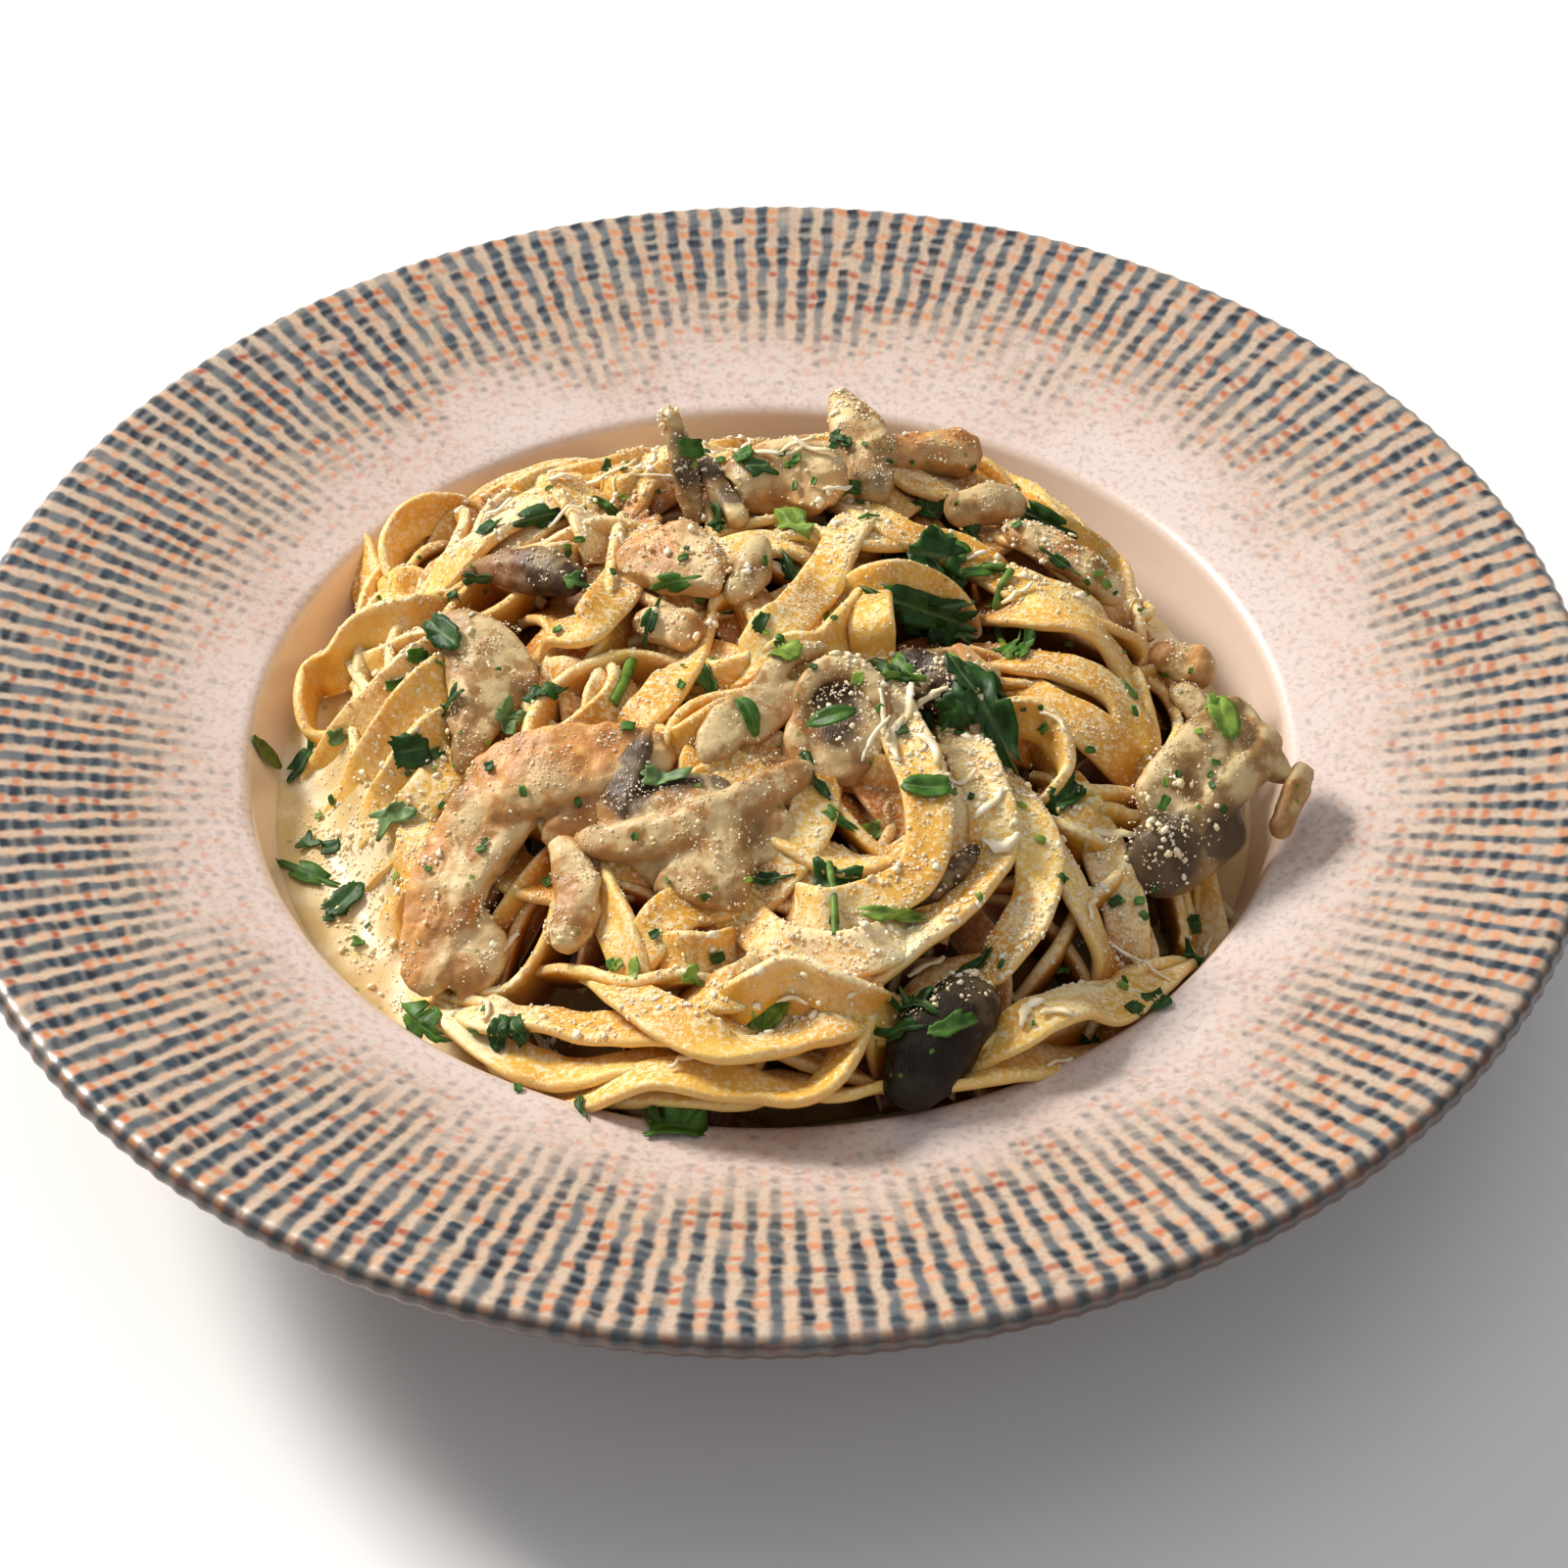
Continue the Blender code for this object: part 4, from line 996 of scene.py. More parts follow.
def roughen(obj, lump, pit, fibre, grain, seed):
    """Pushes the surface in and out, each by so many mm: lumps, pits and torn fibres along the grain."""
    points, normals = points_of(obj), normals_of(obj)
    grain = Vector(grain).normalized()
    shift = Vector((seed, seed * 0.7, -seed))
    push = np.empty(len(points))
    for i, place in enumerate(points):
        spot = Vector(place) + shift
        value = lump * noise.noise(spot / LUMP_SIZE) + pit * noise.noise(spot / PIT_SIZE)
        value = value + 0.4 * pit * noise.noise(spot / FINE_PIT_SIZE)
        if fibre:
            along = spot.dot(grain)
            across = (spot - grain * along) + grain * along * 0.14
            value -= fibre * abs(noise.noise(across / FIBRE_SIZE)) * 2 - 0.3 * fibre
        push[i] = value
    set_points(obj, points + normals * push[:, None])


def paint(obj, name, spots):
    """A float attribute that is strong near each spot: x, y, z, radius, strength."""
    points = points_of(obj)
    value = np.zeros(len(points))
    for x, y, z, radius, strength in spots:
        away = np.linalg.norm(points - (x, y, z), axis=1) / radius
        value = np.maximum(value, strength * np.clip(1.4 - away, 0, 1))
    give(obj.data, name, value)


def mark_edges(obj):
    """Paints "edge": 1 on ridges and thin rims, 0 on flats and in hollows."""
    points, normals = points_of(obj), normals_of(obj)
    ends = np.empty(len(obj.data.edges) * 2, np.int32)
    obj.data.edges.foreach_get("vertices", ends)
    a, b = ends.reshape(-1, 2).T
    share = np.bincount(np.concatenate([a, b]), minlength=len(points))[:, None].clip(1)

    def around(values):
        total = np.zeros_like(values)
        np.add.at(total, a, values[b])
        np.add.at(total, b, values[a])
        return total / share

    middle = points
    for _ in range(7):
        middle = around(middle)
    bulge = np.sum((points - middle) * normals, axis=1, keepdims=True)
    for _ in range(2):
        bulge = around(bulge)
    give(obj.data, "edge", np.clip((bulge[:, 0] - 0.12) / 0.30, 0, 1))


def dent(obj, spots):
    """Presses a bowl into the surface at each spot: x, y, z, radius, depth, along its normal."""
    points, normals = points_of(obj), normals_of(obj)
    for x, y, z, radius, depth in spots:
        away = np.linalg.norm(points - (x, y, z), axis=1) / radius
        points -= normals * (depth * np.exp(-2.5 * away ** 2))[:, None]
    set_points(obj, points)


def herb_flecks(tree, place, tone, many, size=1.613, reach=0.36, hue="#6B7A2C", thick=0.75):
    """Fine green flecks over a tone: the chopped herb that the sauce carries."""
    cells = add(tree, "TexVoronoi", {"Vector": place, "Scale": apart(size)})
    pick = add(tree, "SeparateColor", {0: cells.outputs["Color"]})
    near = add(tree, "MapRange", {0: cells.outputs["Distance"], 1: reach, 2: 0.2, 3: 0.0, 4: thick})
    there = add(tree, "Math", {0: pick.outputs[0], 1: many}, operation="LESS_THAN")
    return lay_over(tree, tone, hue, near, there)


def chicken_meat():
    """Chicken, fried then turned in the sauce: moist tan meat, rosy at the edges, golden where it met the
    pan, with a thin broken coat of cream that carries herb flecks; the coat thins on faces turned down, as
    painted shade."""
    material, tree, shader = new_material("chicken_fried_sauced")
    place = add(tree, "TexCoord").outputs["Object"]
    brown = add(tree, "Attribute", attribute_name="brown").outputs["Fac"]
    edge = add(tree, "Attribute", attribute_name="edge").outputs["Fac"]
    broad = add(tree, "TexNoise", {"Vector": place, "Scale": apart(6.667), "Detail": 3.0})
    flesh = add(tree, "ValToRGB", {0: broad}, stops=((0.30, "#9A6834"), (0.48, tint("chicken")),
                                                     (0.66, "#D8B47A")))
    patch = add(tree, "TexNoise", {"Vector": place, "Scale": apart(3.03), "Detail": 5.0, "Roughness": 0.6})
    rosy = add(tree, "Math", {0: patch, 1: 0.5, 2: edge}, operation="MULTIPLY_ADD")
    rosy = add(tree, "MapRange", {0: rosy, 1: 0.65, 2: 1.25, 3: 0.0, 4: 0.6})
    tone = lay_over(tree, flesh, "#CC8A46", rosy)
    seared = add(tree, "Math", {0: patch, 1: 1.1, 2: -0.52}, operation="MULTIPLY_ADD")
    seared = add(tree, "Math", {0: brown, 1: 0.85, 2: seared}, operation="MULTIPLY_ADD")
    seared = add(tree, "MapRange", {0: seared, 1: 0.2, 2: 0.8, 3: 0.0, 4: 0.9})
    crust = add(tree, "ValToRGB", {0: patch}, stops=((0.3, "#9A5820"), (0.5, tint("seared")),
                                                     (0.7, "#E6B268")))
    tone = lay_over(tree, tone, crust, seared)
    # The cream coat is laid thick on faces turned up and thin on faces turned down; the thinning also paints
    # shade on the faces turned down.
    normal = add(tree, "SeparateXYZ", {0: add(tree, "NewGeometry").outputs["Normal"]})
    facing = add(tree, "MapRange", {0: normal.outputs["Z"], 1: -0.1, 2: 0.7, 3: 0.25, 4: 1.0})
    coat = add(tree, "MapRange", {0: broad, 1: 0.46, 2: 0.54})
    bare = add(tree, "MapRange", {0: brown, 1: 0.1, 2: 0.7, 3: 0.85, 4: 0.1})
    tone = lay_over(tree, tone, "#E0C692", coat, facing, bare)
    tone = herb_flecks(tree, place, tone, 0.10)
    fine = add(tree, "TexNoise", {"Vector": place, "Scale": apart(0.909), "Detail": 2.0})
    height = add(tree, "Math", {0: fine, 1: 0.5, 2: patch}, operation="MULTIPLY_ADD")
    relief = add(tree, "Bump", {"Height": height, "Strength": 0.5, "Distance": 0.0006})
    fill(tree, shader, {"Base Color": tone, "Normal": relief, "Roughness": 0.5, "Subsurface Weight": 0.18,
                        "Subsurface Radius": (1.0, 0.72, 0.42), "Subsurface Scale": 0.002})
    return material


def mushroom_flesh(name, flesh_stops, gill_hue, skin_hue, film):
    """Sliced mushroom cooked in cream: smooth satin flesh, a tan skin at the cap's edge and soft grey-brown
    gills 0.56 mm apart in the hollow, with a film of cream here and there."""
    material, tree, shader = new_material(name)
    place = add(tree, "TexCoord").outputs["Object"]
    gill = add(tree, "Attribute", attribute_name="gill").outputs["Fac"]
    skin = add(tree, "Attribute", attribute_name="skin").outputs["Fac"]
    edge = add(tree, "Attribute", attribute_name="edge").outputs["Fac"]
    broad = add(tree, "TexNoise", {"Vector": place, "Scale": apart(5.882), "Detail": 4.0, "Roughness": 0.6})
    tone = add(tree, "ValToRGB", {0: broad}, stops=flesh_stops)
    skin_edge = add(tree, "Math", {0: edge, 1: 0.35, 2: skin}, operation="MULTIPLY_ADD")
    skin_edge = add(tree, "Math", {0: broad, 1: 0.5, 2: skin_edge}, operation="MULTIPLY_ADD")
    skin_edge = add(tree, "MapRange", {0: skin_edge, 1: 0.45, 2: 0.95, 3: 0.0, 4: 0.9})
    tone = lay_over(tree, tone, skin_hue, skin_edge)
    turned = add(tree, "Mapping", {0: place, "Rotation": (0.4, 0.3, 0.5)})
    ridges = add(tree, "TexWave", {0: turned, "Scale": apart(GILL_PITCH * WAVE_BANDS), "Distortion": 9.0,
                                   "Detail": 3.0}, bands_direction="X")
    gill_edge = add(tree, "Math", {0: broad, 1: 0.9, 2: gill}, operation="MULTIPLY_ADD")
    gill_edge = add(tree, "MapRange", {0: gill_edge, 1: 0.68, 2: 1.05})
    dark = add(tree, "Mix", {0: 0.08, 6: to_linear(gill_hue), 7: ridges.outputs[0]}, data_type="RGBA",
               blend_type="MULTIPLY")
    tone = lay_over(tree, tone, dark.outputs[2], gill_edge)
    normal = add(tree, "SeparateXYZ", {0: add(tree, "NewGeometry").outputs["Normal"]})
    facing = add(tree, "MapRange", {0: normal.outputs["Z"], 1: 0.0, 2: 0.9})
    coat = add(tree, "MapRange", {0: broad, 1: 0.46, 2: 0.54, 3: 0.0, 4: film})
    bare = add(tree, "MapRange", {0: gill_edge, 3: 1.0, 4: 0.15})
    tone = lay_over(tree, tone, "#E0CA98", coat, facing, bare)
    tone = herb_flecks(tree, place, tone, 0.05)
    folds = add(tree, "Math", {0: ridges.outputs[1], 1: gill_edge}, operation="MULTIPLY")
    fine = add(tree, "TexNoise", {"Vector": place, "Scale": apart(0.909), "Detail": 2.0})
    height = add(tree, "Math", {0: fine, 1: 0.4, 2: broad}, operation="MULTIPLY_ADD")
    height = add(tree, "Math", {0: folds, 1: 0.12, 2: height}, operation="MULTIPLY_ADD")
    relief = add(tree, "Bump", {"Height": height, "Strength": 0.45, "Distance": 0.0006})
    fill(tree, shader, {"Base Color": tone, "Normal": relief, "Roughness": 0.42, "Specular IOR Level": 0.22,
                        "Subsurface Weight": 0.16, "Subsurface Radius": (1.0, 0.75, 0.5),
                        "Subsurface Scale": 0.0018})
    return material


def topping(name, lump, pit, fibre, seed):
    """A piece from its finer shape where it has one, and else from its CAD node, dented and roughened."""
    if name in SHAPES:
        strips = [strip_mesh(face, stations) for face, stations in SHAPES[name]]
        obj = evened(joined(name + "_looks", strips), 0.55)
    else:
        obj = evened(node_copy(name), 0.6)
    dent(obj, DENTS.get(name, ()))
    roughen(obj, lump, pit, fibre, GRAIN.get(name, (1, 0.3, 0)), seed)
    mark_edges(obj)
    return obj


def build_chicken():
    meat = chicken_meat()
    for number, name in enumerate(n for n in TOPPING_NODES if n.startswith("chicken")):
        obj = topping(name, 0.7, 0.34, 0.16, 3.1 * number)
        paint(obj, "brown", SPOTS.get(name, ()))
        dress(obj, meat, "chicken", name)


def build_mushrooms():
    pale_stops = ((0.30, "#866238"), (0.47, tint("mushroom")), (0.66, "#D6B680"))
    dark_stops = ((0.30, "#2A1B0E"), (0.50, tint("dark_mushroom")), (0.70, "#86623A"))
    pale = mushroom_flesh("mushroom_sliced_sauced", pale_stops, "#5A4636", "#B07E4A", 0.7)
    dark = mushroom_flesh("mushroom_dark_sauced", dark_stops, "#1E140A", "#87552F", 0.2)
    for number, name in enumerate(n for n in TOPPING_NODES if n.startswith("mushroom")):
        obj = topping(name, 0.6, 0.22, 0.0, 2.3 * number)
        paint(obj, "gill", SPOTS.get(name, ()))
        paint(obj, "skin", SKINS.get(name, ()))
        is_dark = name in DARK_MUSHROOMS
        dress(obj, dark if is_dark else pale, "dark_mushroom" if is_dark else "mushroom", name)


# mushroom_shaded lies in shade under other food; the dark flesh it is given here is partly painted shade.
DARK_MUSHROOMS = ("mushroom_left", "mushroom_dark", "mushroom_curled", "mushroom_shaded")

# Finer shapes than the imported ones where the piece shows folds, rims or lobes: for each strip the way its
# broad side faces, then stations of x, y, z, half width and half thickness.
SHAPES = {
    "chicken_large": (
        ((-0.25, -0.35, 0.9), ((-15, -28, 62.5, 3.4, 2.0), (-22, -29, 64, 5.4, 2.4),
                               (-31, -30, 63.5, 6.8, 2.8), (-40, -31, 60.5, 7.2, 3.0),
                               (-46, -32, 57, 5.4, 2.6))),
        ((-0.50, -0.65, 0.55), ((-38, -31, 60.5, 5.6, 2.4), (-45, -36, 55, 7.0, 2.7),
                                (-49.5, -42, 49.5, 6.6, 2.7), (-52, -49, 43.5, 5.8, 2.6),
                                (-53, -56, 39.5, 4.8, 2.2))),
        ((0.25, -0.75, 0.5), ((-21, -33, 60.5, 2.4, 1.9), (-27, -36, 58.8, 3.2, 2.1),
                              (-34, -39, 56.2, 3.4, 2.3))),
        ((-0.1, -0.7, 0.7), ((-45.5, -46, 46.5, 3.0, 2.6), (-45, -51.5, 43, 4.8, 3.2),
                             (-47.5, -57, 40, 3.8, 2.6))),
    ),
    "mushroom_centre": (
        ((0.0, -0.6, 0.8), ((-29, -42, 58.6, 2.2, 2.4), (-21, -44.5, 60.6, 3.1, 2.9),
                            (-11, -44, 63.2, 3.4, 3.0), (-2, -40, 65.6, 3.2, 2.8),
                            (6.5, -35, 66.8, 2.4, 2.2))),
        ((0.0, -0.2, 1.0), ((-24, -38.5, 60, 3.4, 1.3), (-16, -37.5, 62.6, 4.4, 1.4),
                            (-6, -37, 64.8, 2.8, 1.3))),
        ((-0.2, 0.3, 0.9), ((-25, -40, 60.5, 3.8, 1.5), (-21.5, -34, 64.5, 3.2, 1.5),
                            (-18.5, -28, 68, 1.2, 1.2))),
        ((0.0, -0.7, 0.7), ((-22, -42, 58.5, 5.0, 2.8), (-14, -44, 60, 9.0, 3.0), (-9, -49, 59.5, 7.6, 3.4),
                            (-5, -55, 57.2, 3.6, 2.8))),
        ((0.2, -0.7, 0.7), ((-6, -42, 62, 5.0, 3.0), (0, -44, 61, 5.2, 3.2), (5, -44.5, 60, 3.4, 2.6))),
    ),
    "mushroom_round": (
        ((-0.15, -0.6, 0.8), hoop((11, -25.5, 68.0), (-0.15, -0.6, 0.8), 6.4, 8.4, 2.1, 2.2)),
        ((-0.15, -0.6, 0.8), ((8, -19.5, 68.0, 3.6, 1.5), (11, -26, 67.4, 5.6, 1.5),
                              (14, -31.5, 66.2, 3.8, 1.5))),
        ((-0.3, -0.5, 0.8), ((6.5, -21, 65.4, 5.0, 3.2), (9.5, -27, 64.4, 7.6, 3.6),
                             (12.5, -33, 63, 5.2, 3.2))),
    ),
    "mushroom_arched": (
        ((0.0, -0.5, 0.9), ((-9.5, -31, 65.5, 3.4, 2.2), (-6, -25, 66.8, 3.6, 2.3), (-1, -19, 68, 2.2, 2.2),
                            (3, -13, 69.4, 1.9, 2.1), (9, -11, 70.2, 1.6, 1.8))),
        ((0.0, -0.7, 0.6), ((-4, -27, 65.6, 2.4, 1.8), (1, -22, 66.4, 2.6, 1.8), (5, -17, 67.6, 1.8, 1.6))),
    ),
    "mushroom_trumpet": (
        ((0.1, -0.75, 0.65), ((-52, 5.5, 62, 2.6, 1.2), (-48.5, 1.5, 61.6, 5.0, 1.4),
                              (-45.5, -3, 60.6, 6.2, 1.6), (-44.5, -8, 58.8, 5.4, 1.9),
                              (-46.5, -14, 56.8, 3.6, 2.0), (-49, -21.5, 54, 2.4, 2.0))),
        ((-0.6, -0.4, 0.6), ((-54, 7, 61.5, 1.3, 1.2), (-51.5, 1, 60.6, 1.7, 1.3),
                             (-50, -7, 58.8, 1.6, 1.3), (-50, -15, 56.4, 1.4, 1.3))),
        ((0.0, -0.4, 0.9), ((-54, 7, 61.8, 1.0, 1.0), (-48, 4.5, 62.8, 1.6, 1.2),
                            (-42.5, 0.5, 62.4, 1.8, 1.3), (-38.5, -5, 60.6, 1.6, 1.2),
                            (-38, -9, 58.6, 1.2, 1.1))),
    ),
    "mushroom_right": (
        ((0.1, -0.5, 0.8), ((60, -31, 51.5, 4.2, 2.6), (66, -24, 54.5, 5.6, 3.0), (73, -16, 55, 5.4, 3.4),
                            (77.5, -10, 53.5, 4.0, 3.4))),
        ((0.4, -0.5, 0.7), ((64, -33, 50.5, 3.2, 3.2), (71, -27, 52.2, 3.4, 3.4), (78, -19, 53, 3.2, 3.2),
                            (80, -12, 52.4, 2.6, 2.8))),
        ((0.4, -0.5, 0.7), ((76, -17, 52.5, 2.4, 2.6), (80, -19, 52, 2.6, 2.4), (83, -21.5, 51, 2.4, 2.2))),
        ((0.3, -0.8, 0.5), ((57, -37, 47.5, 5.6, 3.8), (65, -34, 47, 6.2, 4.2), (74, -26, 48, 4.5, 3.8))),
    ),
}

# Which way the meat's fibres run, where it isn't the usual way
GRAIN = {"chicken_large": (0.5, 0.8, 0.4), "chicken_back": (1, 0.2, 0), "chicken_back_left": (1, -0.4, 0)}

# Hollows pressed into a piece: x, y, z, radius, depth
DENTS = {
    "chicken_large": ((-38, -37, 61, 3.6, 1.0), (-46, -47, 49, 2.2, 1.4), (-30, -28, 67, 4.0, 0.7)),
    "mushroom_right": ((76, -13, 58, 3.0, 1.2), (68, -29, 55, 3.0, 1.0)),
    "mushroom_back": ((16, 44, 70, 2.5, 0.9), (17, 50, 70, 2.0, 0.8)),
    "chicken_back": ((3, 34, 70, 3.0, 1.0), (10, 31, 70, 2.5, 0.8)),
}

# Browned places on chicken and gills on mushrooms: x, y, z, radius, strength
SPOTS = {
    "chicken_large": ((-28, -27, 66, 10, 1.0), (-40, -27, 62, 9, 1.0), (-54, -38, 53, 6, 1.0),
                      (-56, -46, 47, 6, 1.0), (-57, -53, 41, 6, 0.9), (-22, -28, 66, 6, 0.8),
                      (-46, -47, 49, 2.2, 1.0)),
    "chicken_back_left": ((-17, 19, 70, 8, 0.7), (-22, 17, 68, 5, 0.8)),
    "chicken_back": ((4, 30, 67, 6, 0.6), (12, 31, 68, 5, 0.6)),
    "chicken_back_right": ((24, 50, 64, 5, 1.0), (33, 52, 62, 5, 1.0), (29, 47, 61, 3, 0.9)),
    "chicken_right": ((43, 30, 62, 4, 0.8), (50, 22, 61, 4, 0.5)),
    "chicken_nub": ((66, 13, 50, 3, 0.6), (71, 9, 49, 3, 0.8)),
    "chicken_shaded": ((33, -8, 64, 5, 0.6),),
    "mushroom_centre": ((-21, -37, 63, 5, 1.0), (-13, -37, 64.5, 4, 1.0), (-20, -31, 66, 4, 0.8),
                        (-7, -36, 66, 3, 0.7)),
    "mushroom_round": ((8.8, -20.5, 69, 3.6, 1.0), (12.5, -21.5, 69, 2.6, 0.9), (11, -26, 68, 5.2, 0.75)),
    "mushroom_trumpet": ((-45, -3, 62, 4, 0.3), (-43, -8, 60, 3, 0.3)),
    "mushroom_right": ((62, -38, 50, 8, 0.9), (72, -32, 49, 6, 0.8), (57, -39, 47, 6, 0.9)),
    "mushroom_dark": ((20, -74, 46, 14, 1.0),),
    "mushroom_upright": ((-13.5, 34, 69, 3.5, 0.7), (-15, 38, 73, 2.5, 0.6)),
    "mushroom_forked": ((-9, 36, 69, 5, 0.7), (-6, 30, 68, 4, 0.6)),
    "mushroom_back": ((18, 36, 66, 3, 0.5),),
}

# Skin at the edge of a cap
SKINS = {
    "mushroom_centre": ((-24, -43, 61, 6, 0.9), (-12, -44, 63, 7, 0.9), (0, -39, 66, 7, 0.9)),
    "mushroom_round": ((18, -26, 69, 4, 0.6), (3.5, -27, 66, 7, 1.0), (8, -35, 64, 7, 0.9)),
    "mushroom_arched": ((0, -22, 66, 5, 0.9),),
    "mushroom_trumpet": ((-54, 5, 61, 5, 0.8), (-49, -10, 58, 5, 0.4)),
    "mushroom_right": ((80, -15, 52, 7, 0.8), (78, -10, 53, 5, 0.6)),
    "mushroom_tip": ((84, -24, 50, 8, 0.5),),
    "mushroom_pale": ((37, 38, 62, 5, 0.7),),
    "mushroom_upright": ((-16, 41, 76, 4, 0.6),),
    "mushroom_left": ((-44, 20, 62, 9, 0.8),),
}


# ---------------------------------------------------------------- cream sauce

WALL_GAP = 0.6  # between the sauce's hidden side and the well
WALL_OVERLAP = 0.9  # how far its top runs into the wall
MOST_CLIMB = 12.0


def pool_height(x, y):
    """Top of the sauce: thick cream, nowhere quite flat, that creeps up the wall and round the pasta."""
    away = math.hypot(x, y)
    wave = 0.55 * noise.noise(Vector((x / 13, y / 13, 2.0)))
    wave += 0.25 * noise.noise(Vector((x / 4.5, y / 4.5, 7.0)))
    left_front = max(0.0, 1 - math.hypot(x + 66, y + 26) / 34)
    far_side = max(0.0, min(1.0, (x + 20) / 60))
    wall = math.exp(-max(well_radius(SAUCE_LEVEL) - away, 0.0) / 1.3)
    return SAUCE_LEVEL + wave + 2.2 * left_front - 2.5 * far_side + 0.9 * wall


def clinging(x, y):
    """How much the sauce climbs over the pasta there: all of it at the front left, none elsewhere."""
    return max(0.0, min(1.0, 1.7 - math.hypot((x + 68) / 22, (y + 20) / 34)))


def cream_pool():
    """The sauce as one closed body, laid into the well with a hair of space under it. Where it clings, it
    lies over the pasta and only the higher strands stand out of it."""
    table = Table("heap_core", "ribbons")
    steps, count = 300, 44
    inner = 0.5
    shares = [inner + (1 - inner) * (i / (count - 1)) for i in range(count)]
    turns = [2 * math.pi * step / steps for step in range(steps)]
    spots = np.zeros((count, steps, 3))
    over = np.zeros((count, steps))
    for ring, share in enumerate(shares):
        for step, turn in enumerate(turns):
            wander = noise.noise(Vector((math.cos(turn) * 6, math.sin(turn) * 6, 1)))
            edge = well_radius(SAUCE_LEVEL + 0.4)
            edge = well_radius(pool_height(*polar(edge, turn)) + 0.2 * wander) + WALL_OVERLAP
            x, y = polar(share * edge, turn)
            level = pool_height(x, y)
            spots[ring, step] = x, y, level
            if clinging(x, y) > 0:
                place, _ = table.below(x, y)
                over[ring, step] = max(place.z - level, 0.0) if place else 0.0
    for _ in range(7):
        over = (np.roll(over, 1, 1) + 2 * over + np.roll(over, -1, 1)) / 4
        over[1:-1] = (over[:-2] + 2 * over[1:-1] + over[2:]) / 4
    for ring in range(count):
        for step in range(steps):
            x, y, level = spots[ring, step]
            lumps = 0.5 * noise.noise(Vector((x / 2.6, y / 2.6, 5.0)))
            fade = min(1.0, (count - 1 - ring) / 4)
            climb = min(over[ring, step], MOST_CLIMB) + 0.3 + lumps
            spots[ring, step, 2] = level + fade * clinging(x, y) * climb
    points = spots.reshape(-1, 3).tolist()
    lows = ((26.0, WALL_GAP), (22.0, WALL_GAP), (18.0, WALL_GAP), (12.0, WALL_GAP), (9.0, 2 * WALL_GAP))
    for height, gap in lows:
        for turn in turns:
            points.append((*polar(well_radius(height) - gap, turn), height))
    crown, base = len(points), len(points) + 1
    points += [(0, 0, SAUCE_LEVEL), (0, 0, lows[-1][0])]
    rings = count + len(lows)
    faces = tube_faces(0, rings, steps)
    for step in range(steps):
        after = (step + 1) % steps
        faces.append((crown, step, after))
        faces.append((base, (rings - 1) * steps + after, (rings - 1) * steps + step))
    return mesh_object("cream_pool", points, faces)


def cream_sauce():
    """Cream reduced with cheese and butter: opaque ivory with a wet shine, fine lumps, yellow beads of
    butter fat and green flecks of herb."""
    material, tree, shader = new_material("cream_sauce_reduced")
    place = add(tree, "TexCoord").outputs["Object"]
    broad = add(tree, "TexNoise", {"Vector": place, "Scale": apart(14.29), "Detail": 4.0, "Distortion": 0.6})
    tone = add(tree, "ValToRGB", {0: broad}, stops=((0.32, "#D2B270"), (0.50, tint("sauce")),
                                                    (0.64, "#F0DFB8")))
    fat = add(tree, "TexVoronoi", {"Vector": place, "Scale": apart(3.333)})
    fat_pick = add(tree, "SeparateColor", {0: fat.outputs["Color"]})
    fat_size = add(tree, "MapRange", {0: fat_pick.outputs[1], 3: 0.16, 4: 0.36})
    fat_there = add(tree, "Math", {0: fat_pick.outputs[0], 1: 0.22}, operation="LESS_THAN")
    fat_in = add(tree, "Math", {0: fat.outputs["Distance"], 1: fat_size}, operation="LESS_THAN")
    tone = lay_over(tree, tone, "#D9B45C", fat_there, fat_in, 0.45)
    tone = herb_flecks(tree, place, tone, 0.07, 1.923, 0.34, "#7F8A3E", 0.65)
    lumps = add(tree, "TexNoise", {"Vector": place, "Scale": apart(2.381), "Detail": 4.0})
    relief = add(tree, "Bump", {"Height": lumps, "Strength": 0.35, "Distance": 0.0006})
    fill(tree, shader, {"Base Color": tone, "Normal": relief, "Roughness": 0.42, "Subsurface Weight": 0.3,
                        "Subsurface Radius": (1.0, 0.8, 0.5), "Subsurface Scale": 0.002})
    return material


def build_sauce():
    dress(cream_pool(), cream_sauce(), "cream_sauce", "sauce")


# ---------------------------------------------------------------- laying small things on the food

PARSLEY_REACH = 80.0  # how far from the middle it is strewn
CHEESE_REACH = 79.0
ABOVE_ALL = 120.0


class Table:
    """Everything laid so far, in mm, for finding what a thing dropped on it would touch."""

    def __init__(self, *names):
        points, faces = [], []
        for obj in bpy.data.objects:
            if obj.type != "MESH" or not obj.name.startswith(names):
                continue
            base = len(points)
            points += points_of(obj).tolist()
            faces += [[base + i for i in polygon.vertices] for polygon in obj.data.polygons]
        self.tree = bvhtree.BVHTree.FromPolygons(points, faces)
        self.surface = survey()[0]
        self.eye = Vector(CAMERA_PLACE) / MM

    def seen(self, x, y):
        """What the eater sees where the heap's even surface would be: place and normal."""
        aim = Vector((x, y, float(self.surface.smooth_at(x, y))))
        place, normal, _, _ = self.tree.ray_cast(self.eye, (aim - self.eye).normalized())
        return (place, normal) if place else (aim, Vector((0, 0, 1)))

    def below(self, x, y):
        """What lies straight below a place."""
        place, normal, _, _ = self.tree.ray_cast(Vector((x, y, ABOVE_ALL)), Vector((0, 0, -1)))
        return place, normal

    def drop(self, place, way, most, reach=7.0):
        """How far along a way the food lies, at most so far either way; 0 where there is none in reach."""
        hit = self.tree.ray_cast(place - way * reach, way, 2 * reach)
        return 0.0 if hit[0] is None else max(min(hit[3] - reach, most), -most)


